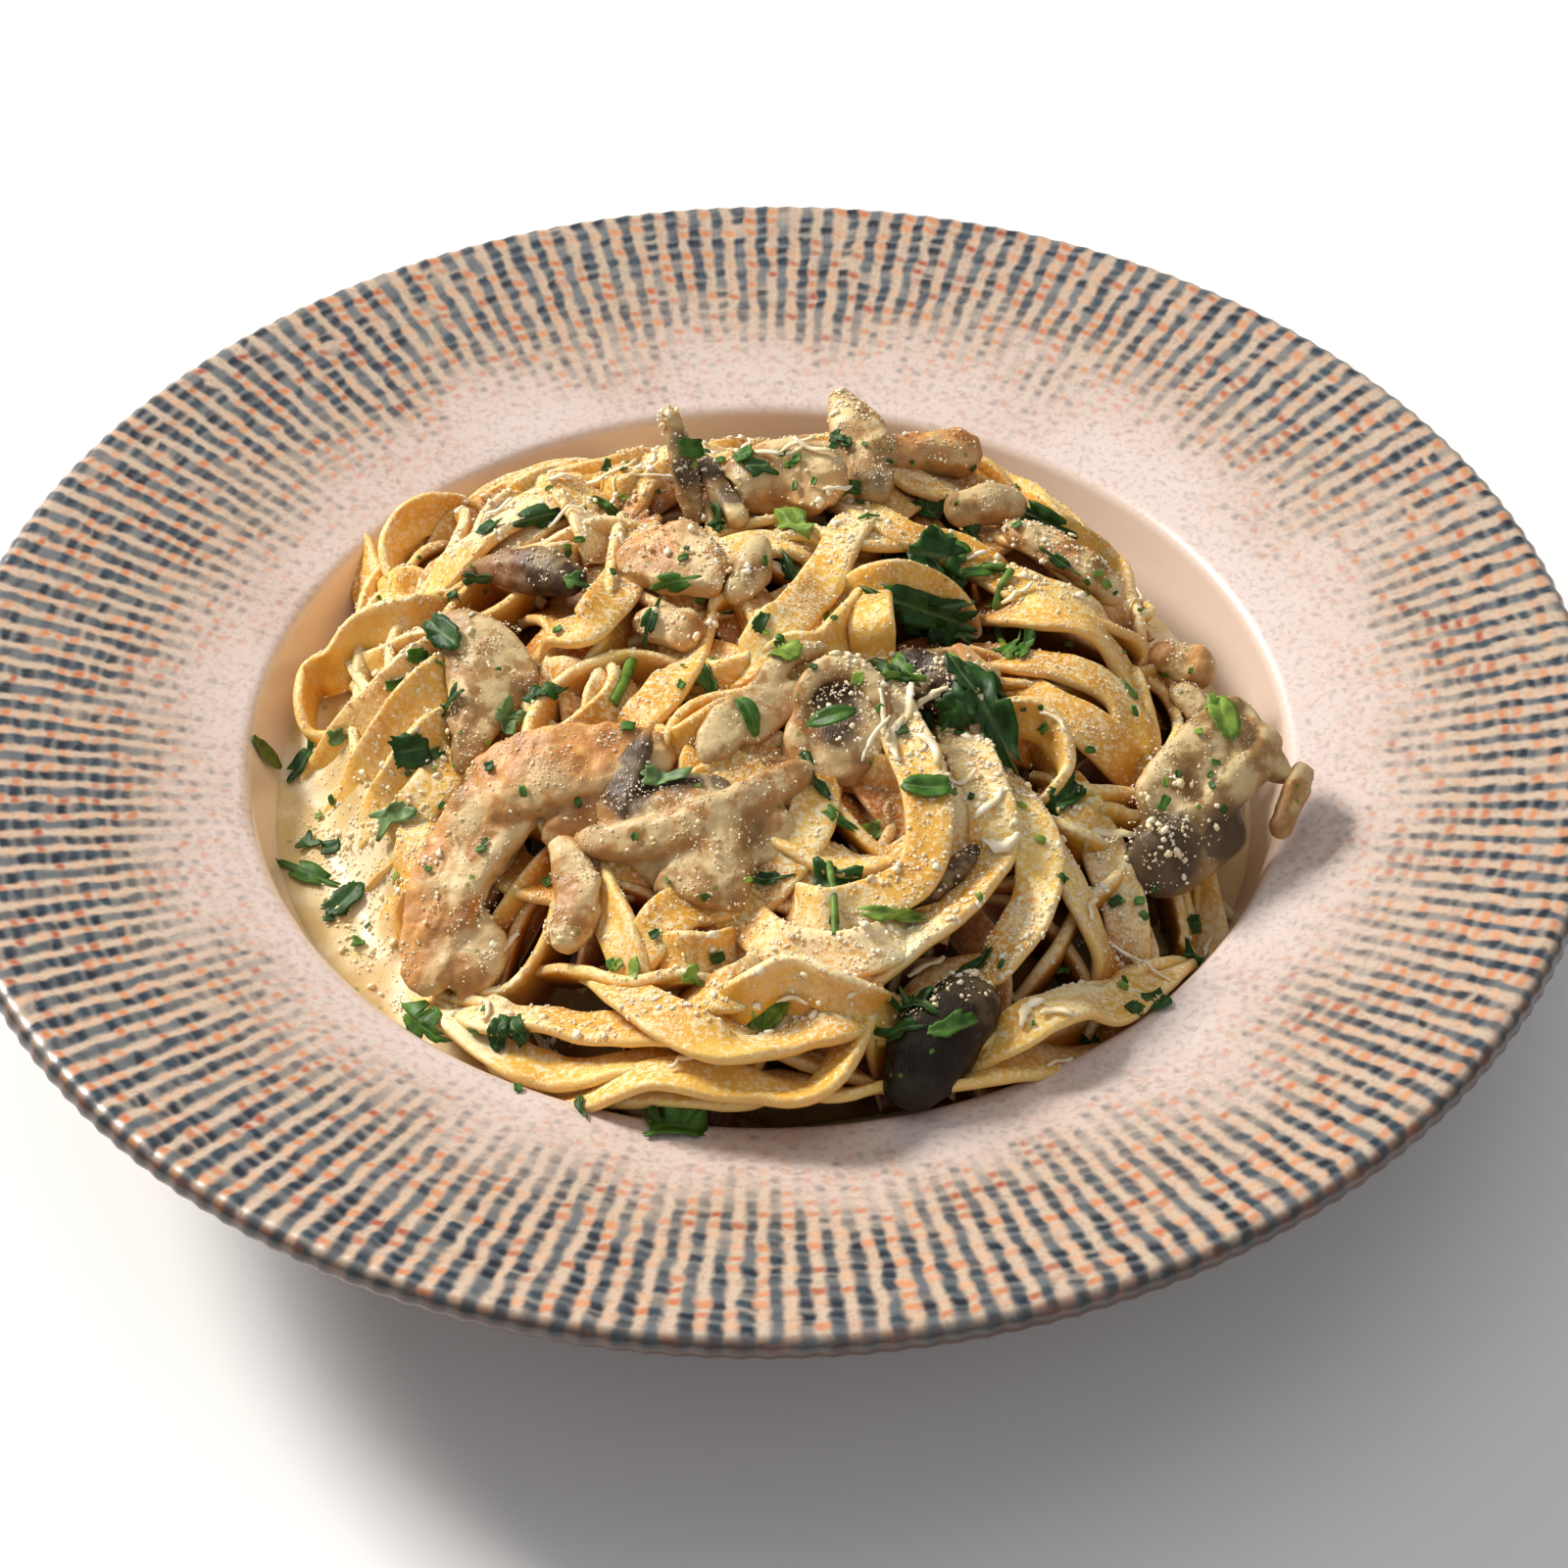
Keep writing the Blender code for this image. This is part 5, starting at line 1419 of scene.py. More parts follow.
def lying(normal, lean, heading):
    """Three ways for a thing on the food: the normal, leant a little, its length at a heading, its side."""
    normal = (normal + Vector(lean)).normalized()
    along = Vector((math.cos(math.radians(heading)), math.sin(math.radians(heading)), 0))
    along = (along - normal * along.dot(normal)).normalized()
    return normal, along, normal.cross(along)


def leaf_outline(kind, length, width, seed):
    """Outline of one bit of parsley, lying along X: a cut leaf with pointed lobes, one narrow leaflet, an
    oval or a square cut."""
    count = 36 if kind == "leaf" or width >= 4 else 20
    draws = np.random.default_rng(seed)
    turn = np.linspace(0, 2 * math.pi, count, endpoint=False)
    x, y = np.cos(turn), np.sin(turn)
    if kind == "leaf":
        tips = np.sort(draws.uniform(-2.3, 2.3, draws.integers(3, 6)))
        reach = draws.uniform(0.55, 1.0, len(tips))
        near = [long * np.exp(-(((turn - tip + math.pi) % (2 * math.pi) - math.pi) / 0.30) ** 2)
                for tip, long in zip(tips, reach)]
        share = 0.42 + 0.72 * np.max(near, axis=0) + draws.uniform(-0.05, 0.05, count)
    elif kind == "blade":
        y = y * (1 - 0.55 * x ** 2) * (1 - 0.25 * x)
        cut = (np.arange(count) + seed) % (count // 4)
        notch = np.where(cut == 0, 0.52, np.where(cut == 1, 0.8, 1.0))
        share = notch + draws.uniform(-0.06, 0.06, count)
    elif kind == "oval":
        share = 1 + draws.uniform(-0.08, 0.08, count)
    else:
        x = np.sign(x) * np.abs(x) ** 0.5
        y = np.sign(y) * np.abs(y) ** 0.5 + 0.25 * x * draws.uniform(-1, 1)
        share = 1 + draws.uniform(-0.18, 0.18, count)
    return np.stack([x * share * length / 2, y * share * width / 2], axis=1)


def lay_leaf(table, entry, number, points, faces, tones, veins):
    """One bit of parsley: an outline with a folded middle, curled and laid on what is under it."""
    kind, tone, x, y, heading, length, width = entry
    place, normal = table.seen(x, y)
    normal, along, side = lying(normal, (0, -0.15, 0.55), heading)
    outline = leaf_outline(kind, length, width, number)
    count = len(outline)
    rings = [outline * share for share in (0.001, 0.36, 0.7, 1.0)]
    flat = np.vstack(rings)
    fold = 0.30 * np.abs(flat[:, 1])
    curl = 0.9 * noise.noise(Vector((number * 1.7, 0.3, 0.0))) * (flat[:, 0] / max(length, 1)) ** 2 * length
    base = len(points)
    middle = []
    for (u, v), rise, bend in zip(flat, fold, curl):
        spot = place + along * float(u) + side * float(v)
        drop = table.drop(spot, -normal, 2.5)
        ripple = 0.35 * noise.noise(Vector((u / 2.2, v / 2.2, number)))
        middle.append(spot - normal * (0.75 * drop) + normal * (0.45 + rise + bend + ripple))
    half = 0.12
    points += [m + normal * half for m in middle] + [m - normal * half for m in middle]
    size = len(middle)
    for ring in range(3):
        for step in range(count):
            after = (step + 1) % count
            a, b = base + ring * count, base + (ring + 1) * count
            faces.append((a + step, b + step, b + after, a + after))
            faces.append((size + a + after, size + b + after, size + b + step, size + a + step))
    rim = base + 3 * count
    for step in range(count):
        after = (step + 1) % count
        faces.append((rim + step, size + rim + step, size + rim + after, rim + after))
    faces.append([base + i for i in range(count)])
    faces.append([size + base + i for i in range(count)][::-1])
    tones += [PARSLEY_TONES[tone]] * (2 * size)
    vein = np.abs(flat[:, 1]) / (width / 2)
    veins += vein.tolist() * 2


def lay_stalk(table, route, half, points, faces, tones, veins):
    """One parsley stalk, a thin round stem that follows what it lies on."""
    line = through(route, spacing=1.2)
    centre = []
    for x, y, lift in line:
        place, _ = table.seen(x, y)
        centre.append((place.x, place.y, place.z + lift))
    centre = np.array(centre)
    for column in range(3):
        centre[:, column] = relaxed(centre[:, column], 10)
    along = unit(np.gradient(centre, axis=0))
    side = unit(np.cross(along, (0, 0, 1.0)))
    up = np.cross(side, along)
    base, sides = len(points), 8
    for c, s, u in zip(centre, side, up):
        for step in range(sides):
            turn = 2 * math.pi * step / sides
            points.append(Vector(c + half * (math.cos(turn) * s + math.sin(turn) * u)))
    faces += tube_faces(base, len(centre), sides, flipped=True)
    last = base + (len(centre) - 1) * sides
    faces.append([base + i for i in range(sides)][::-1])
    faces.append([last + i for i in range(sides)])
    tones += [0.5] * (len(centre) * sides)
    veins += [1.0] * (len(centre) * sides)


def parsley_leaf():
    """Fresh flat parsley, chopped: a waxy leaf, deep green above with paler veins, some bits turned to their
    pale grey-green underside, the young ones yellow-green. The darkest tone also paints shade on bits that
    lie in shade, and the grey one a sheen on some."""
    material, tree, shader = new_material("parsley_fresh_chopped")
    place = add(tree, "TexCoord").outputs["Object"]
    tone = add(tree, "Attribute", attribute_name="tone").outputs["Fac"]
    vein = add(tree, "Attribute", attribute_name="vein").outputs["Fac"]
    hue = add(tree, "ValToRGB", {0: tone}, stops=((0.0, tint("parsley")), (0.33, "#4E7A28"),
                                                  (0.66, "#8FAC44"), (0.85, "#7F9C66"), (1.0, "#667328")))
    mottle = add(tree, "TexNoise", {"Vector": place, "Scale": apart(2.381), "Detail": 3.0})
    shade = add(tree, "ValToRGB", {0: mottle}, stops=((0.32, "#8A9468"), (0.66, "#FFFFFF")))
    hue = add(tree, "Mix", {0: 0.9, 6: hue, 7: shade}, data_type="RGBA", blend_type="MULTIPLY")
    rib = add(tree, "MapRange", {0: vein, 1: 0.14, 2: 0.0, 3: 0.0, 4: 0.22})
    hue = lay_over(tree, hue.outputs[2], "#A9BC7A", rib)
    relief = add(tree, "Bump", {"Height": mottle, "Strength": 0.4, "Distance": 0.0003})
    fill(tree, shader, {"Base Color": hue, "Normal": relief, "Roughness": 0.5,
                        "Specular IOR Level": 0.3, "Subsurface Weight": 0.15,
                        "Subsurface Radius": (0.4, 1.0, 0.2), "Subsurface Scale": 0.001})
    return material


def build_parsley():
    table = Table("cream_pool", "heap_core", "ribbons", "chicken", "mushroom", "plate_glazed")
    points, faces, tones, veins = [], [], [], []
    for number, entry in enumerate(PARSLEY):
        lay_leaf(table, entry, number, points, faces, tones, veins)
    for route, half in STALKS:
        lay_stalk(table, route, half, points, faces, tones, veins)
    draws = np.random.default_rng(5)
    for number in range(bpy.context.scene.alfredo_sizes.fine_parsley):
        x, y = anywhere(draws, PARSLEY_REACH)
        size = draws.uniform(0.7, 1.9)
        tone = draws.choice(("dark", "mid", "mid", "light"))
        heading = draws.uniform(0, 360)
        width = size * draws.uniform(0.5, 0.9)
        entry = ("chip", tone, x, y, heading, size, width)
        lay_leaf(table, entry, 1000 + number, points, faces, tones, veins)
    herbs = mesh_object("parsley_chopped", points, faces, tone=tones, vein=veins)
    dress(herbs, parsley_leaf(), "parsley")


# ---------------------------------------------------------------- grated cheese

def grated_cheese():
    """Hard cheese, finely grated: dry, pale straw crumbs, nearly white where thin, with no shine."""
    material, tree, shader = new_material("hard_cheese_grated")
    place = add(tree, "TexCoord").outputs["Object"]
    broad = add(tree, "TexNoise", {"Vector": place, "Scale": apart(3.846), "Detail": 3.0})
    tone = add(tree, "ValToRGB", {0: broad}, stops=((0.3, "#EACF96"), (0.5, tint("cheese")),
                                                    (0.7, "#FDF5E0")))
    fill(tree, shader, {"Base Color": tone, "Roughness": 0.55, "Subsurface Weight": 0.3,
                        "Subsurface Radius": (1.0, 0.9, 0.7), "Subsurface Scale": 0.001})
    return material


def crumb_kinds():
    """Four crumb shapes, modelled once: a small faceted ball, pulled out of round."""
    kinds = []
    for kind in range(4):
        deselect()
        bpy.ops.mesh.primitive_ico_sphere_add(subdivisions=1, radius=MM)
        ball = bpy.context.object
        bpy.ops.object.mode_set(mode="EDIT")
        bpy.ops.mesh.select_all(action="SELECT")
        bpy.ops.transform.vertex_random(offset=0.00034, seed=kind + 1)
        bpy.ops.object.mode_set(mode="OBJECT")
        kinds.append((points_of(ball), [list(p.vertices) for p in ball.data.polygons]))
        bpy.data.objects.remove(ball)
    return kinds


def strewn(table, draws, count, least, patch, sharp):
    """Random places where grated cheese lies, thick at the cheesy places, at least so thick elsewhere, and
    in clumps as far apart as the patch."""
    found = []
    while len(found) < count:
        x, y = anywhere(draws, CHEESE_REACH)
        thick = least
        for cx, cy, radius, most in CHEESY_PLACES:
            thick = max(thick, most * min(1.0, 1.5 - math.hypot(x - cx, y - cy) / radius))
        clump = 0.1 + sharp * noise.noise(Vector((x / patch, y / patch, 9.0)))
        if draws.random() > thick * max(clump, 0.06):
            continue
        place, normal = table.below(x, y)
        if place is None or normal.z < 0.2:
            continue
        found.append((place, normal))
    return found


def grains(name, kinds, places, draws, smallest, spread, power):
    """One mesh of many grains, each a copy of one of the kinds, stretched, turned and half sunk in."""
    points, faces, count = [], [], 0
    for place, normal in places:
        shape, sides = kinds[draws.integers(len(kinds))]
        size = smallest + spread * draws.random() ** power
        stretch = np.array([draws.uniform(0.7, 1.7), draws.uniform(0.7, 1.2), draws.uniform(0.5, 0.9)])
        spin = Matrix.Rotation(draws.uniform(0, 6.28), 3, "Z").to_quaternion()
        turn = normal.to_track_quat("Z", "Y") @ spin
        body = (shape * size * stretch) @ np.array(turn.to_matrix()).T
        points.append(body + np.array(place + normal * size * 0.35))
        faces += [[count + i for i in side] for side in sides]
        count += len(shape)
    return mesh_object(name, np.concatenate(points), faces)


def build_cheese():
    table = Table("cream_pool", "heap_core", "ribbons", "chicken", "mushroom")
    draws = np.random.default_rng(23)
    material = grated_cheese()
    sizes = bpy.context.scene.alfredo_sizes
    kinds = crumb_kinds()
    coarse = strewn(table, draws, sizes.crumbs, 0.10, 1.7, 5.0)
    dress(grains("cheese_crumbs", kinds, coarse, draws, 0.13, 0.25, 2.2), material, "grated_cheese")
    clots = strewn(table, draws, sizes.clots, 0.0, 3.0, 5.0)
    dress(grains("cheese_clots", kinds, clots, draws, 0.25, 0.5, 1.6), material, "grated_cheese")
    corners = np.array([(1, 0, 0), (0, 1, 0), (-1, 0, 0), (0, -1, 0), (0, 0, 1), (0, 0, -1)], float)
    sides = [(0, 1, 4), (1, 2, 4), (2, 3, 4), (3, 0, 4), (1, 0, 5), (2, 1, 5), (3, 2, 5), (0, 3, 5)]
    fine = strewn(table, draws, sizes.dust, 0.6, 5.0, 1.8)
    dress(grains("cheese_dust", [(corners, sides)], fine, draws, 0.11, 0.13, 1.5), material, "grated_cheese")
    dress(cheese_shreds(table), material, "grated_cheese")


def cheese_shreds(table):
    """Long curled shreds and thin flakes from the coarse side of the grater."""
    points, faces = [], []
    for number, (x, y, heading, length, width) in enumerate(SHREDS):
        place, normal = table.seen(x, y)
        normal, along, side = lying(normal, (0, 0, 0.6), heading)
        base = len(points)
        stations = 9
        for i in range(stations):
            share = i / (stations - 1) - 0.5
            spot = place + along * (share * length) + side * (0.8 * width * math.sin(3 * share + number))
            drop = table.drop(spot, -normal, 2.0)
            spot = spot - normal * (0.7 * drop) + normal * (0.35 + 0.5 * math.cos(4 * share + number) ** 2)
            taper = 1 - 0.5 * abs(2 * share) ** 3
            jag = 0.8 + 0.7 * noise.noise(Vector((number, i * 1.3, 0)))
            for u, v in ((-1, -0.25), (1, -0.25), (1, 0.25), (-1, 0.25)):
                points.append(spot + side * (u * 0.5 * width * taper * jag) + normal * (v * 0.7))
        faces += tube_faces(base, stations, 4)
        last = base + 4 * (stations - 1)
        faces.append([base + i for i in range(4)])
        faces.append([last + i for i in range(4)][::-1])
    shreds = mesh_object("cheese_shreds", points, faces)
    turned_out(shreds.data)
    return shreds


# ---------------------------------------------------------------- plate

def arc(x, z, radius, start, end, count):
    """Points of an arc in the turned section, angles in degrees."""
    angles = [math.radians(start + (end - start) * i / (count - 1)) for i in range(count)]
    return [(x + radius * math.cos(a), z + radius * math.sin(a)) for a in angles]


def plate_section():
    """The plate's turned section, from the middle of the floor round to the middle of the base."""
    floor = [(0.0, FLOOR_HEIGHT), (30.0, FLOOR_HEIGHT), (52.0, FLOOR_HEIGHT)]
    well = [(well_radius(z), z) for z in (8.0, 8.6, 9.5, 11, 13, 16, 20, 24, 28, 32, 36)]
    edge = arc(EDGE_RADIUS, EDGE_HEIGHT, EDGE_ROUND, 165, 102, 7)
    lip = arc(PLATE_RADIUS - LIP_ROUND, LIP_HEIGHT - LIP_ROUND, LIP_ROUND, 100, -50, 11)
    start, end = edge[-1], lip[0]
    rim = [(start[0] + (end[0] - start[0]) * i / 16, start[1] + (end[1] - start[1]) * i / 16)
           for i in range(1, 16)]
    under = [(114, 43.2), (96, 37.5), (91, 35.4), (88, 32.5), (83, 22), (77, 14), (70, 8), (64, 5),
             (59, 3.5), (56.5, 1.8), (55, 0.4), (54.2, 0), (49.8, 0), (49, 0.4), (48.4, 1.8), (48, 3),
             (24, 3), (0, 3)]
    return floor + well + edge + rim + lip + under


def spun_plate():
    """The plate, spun from its section by hand: one point extruded along it, then turned full circle."""
    section = plate_section()
    bpy.ops.mesh.primitive_plane_add(size=0.002, location=(section[0][0] * MM, 0, section[0][1] * MM))
    obj = bpy.context.object
    obj.name = obj.data.name = "plate_glazed"
    bpy.ops.object.transform_apply(location=True, rotation=True, scale=True)
    bpy.ops.object.mode_set(mode="EDIT")
    bpy.ops.mesh.select_mode(type="VERT")
    bpy.ops.mesh.select_all(action="SELECT")
    bpy.ops.mesh.merge(type="CENTER")
    for (x0, z0), (x1, z1) in zip(section, section[1:]):
        move = ((x1 - x0) * MM, 0, (z1 - z0) * MM)
        bpy.ops.mesh.extrude_region_move(TRANSFORM_OT_translate={"value": move})
    bpy.ops.mesh.select_all(action="SELECT")
    bpy.ops.mesh.spin(steps=RIM_ROWS * RIB_FACES, angle=2 * math.pi, center=(0, 0, 0), axis=(0, 0, 1))
    bpy.ops.mesh.select_all(action="SELECT")
    bpy.ops.mesh.remove_doubles(threshold=0.00002)
    bpy.ops.mesh.normals_make_consistent(inside=False)
    bpy.ops.object.mode_set(mode="OBJECT")
    bpy.ops.object.shade_smooth()
    return obj


def rib_rim(obj):
    """Raises a low rib under each light row of the rim and lets the lip follow it in and out."""
    points = points_of(obj)
    radius = np.hypot(points[:, 0], points[:, 1])
    angle = np.arctan2(points[:, 1], points[:, 0])
    wave = np.cos(angle * RIM_ROWS)
    reach = np.clip((radius - RIB_START) / RIB_FADE, 0, 1)
    upper = points[:, 2] > EDGE_HEIGHT + (radius - EDGE_RADIUS) * RIM_SLOPE
    lip = np.clip((radius - (PLATE_RADIUS - LIP_BAND)) / LIP_BAND, 0, 1)
    points[:, 2] += bpy.context.scene.alfredo_sizes.rib_height / MM * wave * reach * upper * (1 - lip)
    stretch = 1 + (LIP_SCALLOP * wave * lip) / np.maximum(radius, 1)
    points[:, :2] *= stretch[:, None]
    set_points(obj, points)


def stoneware():
    """Glazed stoneware, dabbed in radial rows under a clear gloss glaze. The eye gets a pale pink-cream
    body and soft slate rows with navy dabs, rust dabs between them, thinning to grey flecks and then to
    nothing at the well."""
    material, tree, shader = new_material("glazed_stoneware_dabbed_rows")
    place = add(tree, "TexCoord").outputs["Object"]
    split = add(tree, "SeparateXYZ", {0: place})
    normal = add(tree, "SeparateXYZ", {0: add(tree, "NewGeometry").outputs["Normal"]})
    flat = add(tree, "CombineXYZ", {"X": split.outputs["X"], "Y": split.outputs["Y"]})
    radius = add(tree, "VectorMath", {0: flat}, operation="LENGTH").outputs["Value"]
    sway = add(tree, "TexNoise", {"Vector": place, "Scale": apart(4.167), "Detail": 2.0})
    turn = add(tree, "Math", {0: split.outputs["Y"], 1: split.outputs["X"]}, operation="ARCTAN2")
    rows = add(tree, "Math", {0: turn, 1: RIM_ROWS / (2 * math.pi)}, operation="MULTIPLY")
    rows = add(tree, "Math", {0: sway, 1: 0.55, 2: rows}, operation="MULTIPLY_ADD").outputs[0]
    along = add(tree, "Math", {0: radius, 1: 1 / DAB_PITCH}, operation="MULTIPLY")
    along = add(tree, "Math", {0: sway, 1: 0.9, 2: along}, operation="MULTIPLY_ADD").outputs[0]
    patch = add(tree, "TexNoise", {"Vector": place, "Scale": apart(25.0), "Detail": 3.0})
    # The rows reach further in towards the well on the left (-X) side than on the right, making the left of
    # the rim darker.
    leftward_reach = add(tree, "Math", {0: split.outputs["X"], 1: -0.045, 2: radius}, operation="MULTIPLY_ADD")
    patchy = add(tree, "Math", {0: patch, 1: 0.036, 2: leftward_reach}, operation="MULTIPLY_ADD")
    fade = add(tree, "MapRange", {0: patchy, 1: 0.112, 2: 0.138}, interpolation_type="SMOOTHSTEP").outputs[0]
    near = add(tree, "MapRange", {0: patchy, 1: 0.104, 2: 0.128}).outputs[0]

    def middle_of(value, half, soft):
        """1 in the middle of each whole step of a value, falling softly to 0 past half either side."""
        off = add(tree, "Math", {0: value}, operation="FRACT")
        off = add(tree, "Math", {0: off, 1: 0.5}, operation="SUBTRACT")
        off = add(tree, "Math", {0: off}, operation="ABSOLUTE")
        return add(tree, "MapRange", {0: off, 1: half + soft, 2: half - soft},
                   interpolation_type="SMOOTHSTEP")

    def dabs(shift, wide, long, rarest, surest, seed, steps=along):
        """Masks that make soft dabs where rows and steps cross. Each crossing draws its strength by lot."""
        across = add(tree, "Math", {0: rows, 1: shift}, operation="ADD")
        down = add(tree, "Math", {0: steps, 1: seed * 0.37}, operation="ADD")
        row = add(tree, "Math", {0: across}, operation="FLOOR")
        step = add(tree, "Math", {0: down}, operation="FLOOR")
        cell = add(tree, "CombineXYZ", {"X": row, "Y": step, "Z": seed})
        lot = add(tree, "TexWhiteNoise", {"Vector": cell}).outputs["Value"]
        lot = add(tree, "MapRange", {0: lot, 1: rarest, 2: surest}, interpolation_type="SMOOTHSTEP")
        return middle_of(across, wide, 0.15), middle_of(down, long, 0.20), lot

    grain = add(tree, "TexNoise", {"Vector": place, "Scale": apart(1.0), "Detail": 3.0})
    body = add(tree, "ValToRGB", {0: near}, stops=((0.0, "#DFCEC6"), (0.5, tint("glaze")), (1.0, "#CDB69E")))
    speckle = add(tree, "ValToRGB", {0: grain}, stops=((0.30, "#DDD2CC"), (0.50, "#FFFFFF")))
    colour = add(tree, "Mix", {0: 0.7, 6: body, 7: speckle}, data_type="RGBA",
                 blend_type="MULTIPLY").outputs[2]
    fine = add(tree, "Math", {0: along, 1: 1.7}, operation="MULTIPLY")
    colour = lay_over(tree, colour, "#8F8480", *dabs(0.0, 0.22, 0.22, 0.55, 1.10, 1.0, fine), 0.38)
    colour = lay_over(tree, colour, "#C49A84", *dabs(0.5, 0.22, 0.22, 0.60, 1.20, 5.0, fine), 0.30)

    # long slate strokes down every row, each row with its own breaks
    drawn_out = add(tree, "Math", {0: along, 1: 0.34}, operation="MULTIPLY")
    row_draw = add(tree, "Math", {0: rows}, operation="FLOOR")
    row_draw = add(tree, "Math", {0: row_draw, 1: 7.31}, operation="MULTIPLY")
    stretch = add(tree, "CombineXYZ", {"X": drawn_out, "Y": row_draw})
    stroke = add(tree, "TexNoise", {"Vector": stretch, "Scale": 1.0, "Detail": 2.0})
    stroke = add(tree, "MapRange", {0: stroke, 1: 0.20, 2: 0.50}, interpolation_type="SMOOTHSTEP")
    colour = lay_over(tree, colour, tint("slate"), stroke, middle_of(rows, 0.25, 0.15), fade, 0.86)
    colour = lay_over(tree, colour, "#45474E", *dabs(0.0, 0.20, 0.24, 0.35, 0.80, 4.0), near, 0.9)
    navy = add(tree, "ValToRGB", {0: sway}, stops=((0.40, "#101A26"), (0.50, "#1E2E3C"), (0.60, "#33454F")))
    colour = lay_over(tree, colour, navy, *dabs(0.0, 0.27, 0.30, 0.10, 0.55, 3.0), fade, 0.97)
    rust = add(tree, "ValToRGB", {0: patch}, stops=((0.40, "#C4622E"), (0.50, tint("rust")),
                                                    (0.60, "#A84A28")))
    colour = lay_over(tree, colour, rust, *dabs(0.5, 0.22, 0.26, 0.40, 0.80, 6.0), near, 0.92)
    colour = lay_over(tree, colour, "#E2A87C", *dabs(0.5, 0.24, 0.34, 0.35, 0.95, 9.0), fade, 0.50)

    # the glaze breaks dark over the lip, the underside is brown and the well is plain
    edge = add(tree, "MapRange", {0: radius, 1: PLATE_RADIUS * MM - 0.0018, 2: PLATE_RADIUS * MM - 0.0005})
    edge_hue = add(tree, "ValToRGB", {0: sway}, stops=((0.40, "#3A1E12"), (0.47, "#20292B"),
                                                       (0.54, "#2B3130"), (0.62, "#5A3220")))
    colour = lay_over(tree, colour, edge_hue, edge, 0.9)
    below = add(tree, "MapRange", {0: normal.outputs["Z"], 1: 0.25, 2: -0.15})
    colour = lay_over(tree, colour, "#4C2D18", below)
    inside = add(tree, "MapRange", {0: radius, 1: (WELL_RADIUS + 0.8) * MM, 2: (WELL_RADIUS - 1) * MM})
    upward = add(tree, "Math", {0: normal.outputs["Z"], 1: -0.2}, operation="GREATER_THAN")
    colour = lay_over(tree, colour, "#E6D0BC", inside, upward)

    relief = add(tree, "Bump", {"Height": grain, "Strength": 0.12, "Distance": 0.0003})
    fill(tree, shader, {"Base Color": colour, "Normal": relief, "Roughness": 0.35, "IOR": 1.5,
                        "Coat Weight": 0.5, "Coat Roughness": 0.1})
    return material


def build_plate():
    obj = spun_plate()
    rib_rim(obj)
    dress(obj, stoneware(), "stoneware", "plate")


# ---------------------------------------------------------------- stage

LIGHT_AIM = (0, 0, 0.03)


def soft_light(name, place, aim, size, power, colour):
    """A square softbox at a place, turned to a point."""
    data = bpy.data.lights.new(name, "AREA")
    data.shape = "SQUARE"
    data.size = size
    data.energy = power
    data.color = to_linear(colour)[:3]
    light = new_object(name, data)
    light.location = place
    light.rotation_euler = (Vector(aim) - Vector(place)).to_track_quat("-Z", "Y").to_euler()


def build_camera():
    """A long lens above and in front of the eater's side of the table."""
    data = bpy.data.cameras.new("camera")
    data.lens = 90.0
    data.sensor_width = 36.0
    data.clip_start = 0.01
    camera = new_object("camera", data)
    camera.location = CAMERA_PLACE
    turn = (Vector(CAMERA_AIM) - Vector(CAMERA_PLACE)).to_track_quat("-Z", "Y")
    camera.rotation_euler = (turn @ Matrix.Rotation(CAMERA_ROLL, 4, "Z").to_quaternion()).to_euler()
    bpy.context.scene.camera = camera


def paper():
    """Matt studio paper: an even, pale ground with no sheen."""
    material, tree, shader = new_material("studio_paper_matt")
    place = add(tree, "TexCoord").outputs["Object"]
    mottle = add(tree, "TexNoise", {"Vector": place, "Scale": apart(111.1), "Detail": 2.0})
    tone = add(tree, "ValToRGB", {0: mottle}, stops=((0.3, "#F3F2F0"), (0.7, "#F7F6F4")))
    fill(tree, shader, {"Base Color": tone, "Roughness": 0.9})
    return material


def build_stage():
    deselect()
    bpy.ops.mesh.primitive_plane_add(size=6.0, location=(0, 0, 0))
    floor = bpy.context.object
    floor.name = floor.data.name = "studio_floor"
    floor.data.materials.append(paper())
    soft_light("key_softbox", (-1.24, 0.84, 1.21), LIGHT_AIM, 0.50, 50.0, "#FFFBF6")
    soft_light("front_fill", (0.25, -0.9, 0.75), LIGHT_AIM, 1.0, 1.6, "#F6F8FF")
    soft_light("top_fill", (0.1, 0.1, 1.3), LIGHT_AIM, 1.0, 2.2, "#FFFFFF")
    world = bpy.data.worlds.new("studio_air")
    world.use_nodes = True
    air = world.node_tree
    fill(air, air.nodes["Background"], {"Color": to_linear("#F4F5F8"), "Strength": 0.32})
    bpy.context.scene.world = world
    bpy.context.scene.view_settings.view_transform = "Standard"
    build_camera()


# ---------------------------------------------------------------- what the panel offers

def colour_setting(label, use, default):
    """A colour for the panel, its default in sRGB hex."""
    return FloatVectorProperty(name=label, description=use, default=to_linear(default)[:3], subtype="COLOR",
                               min=0.0, max=1.0)


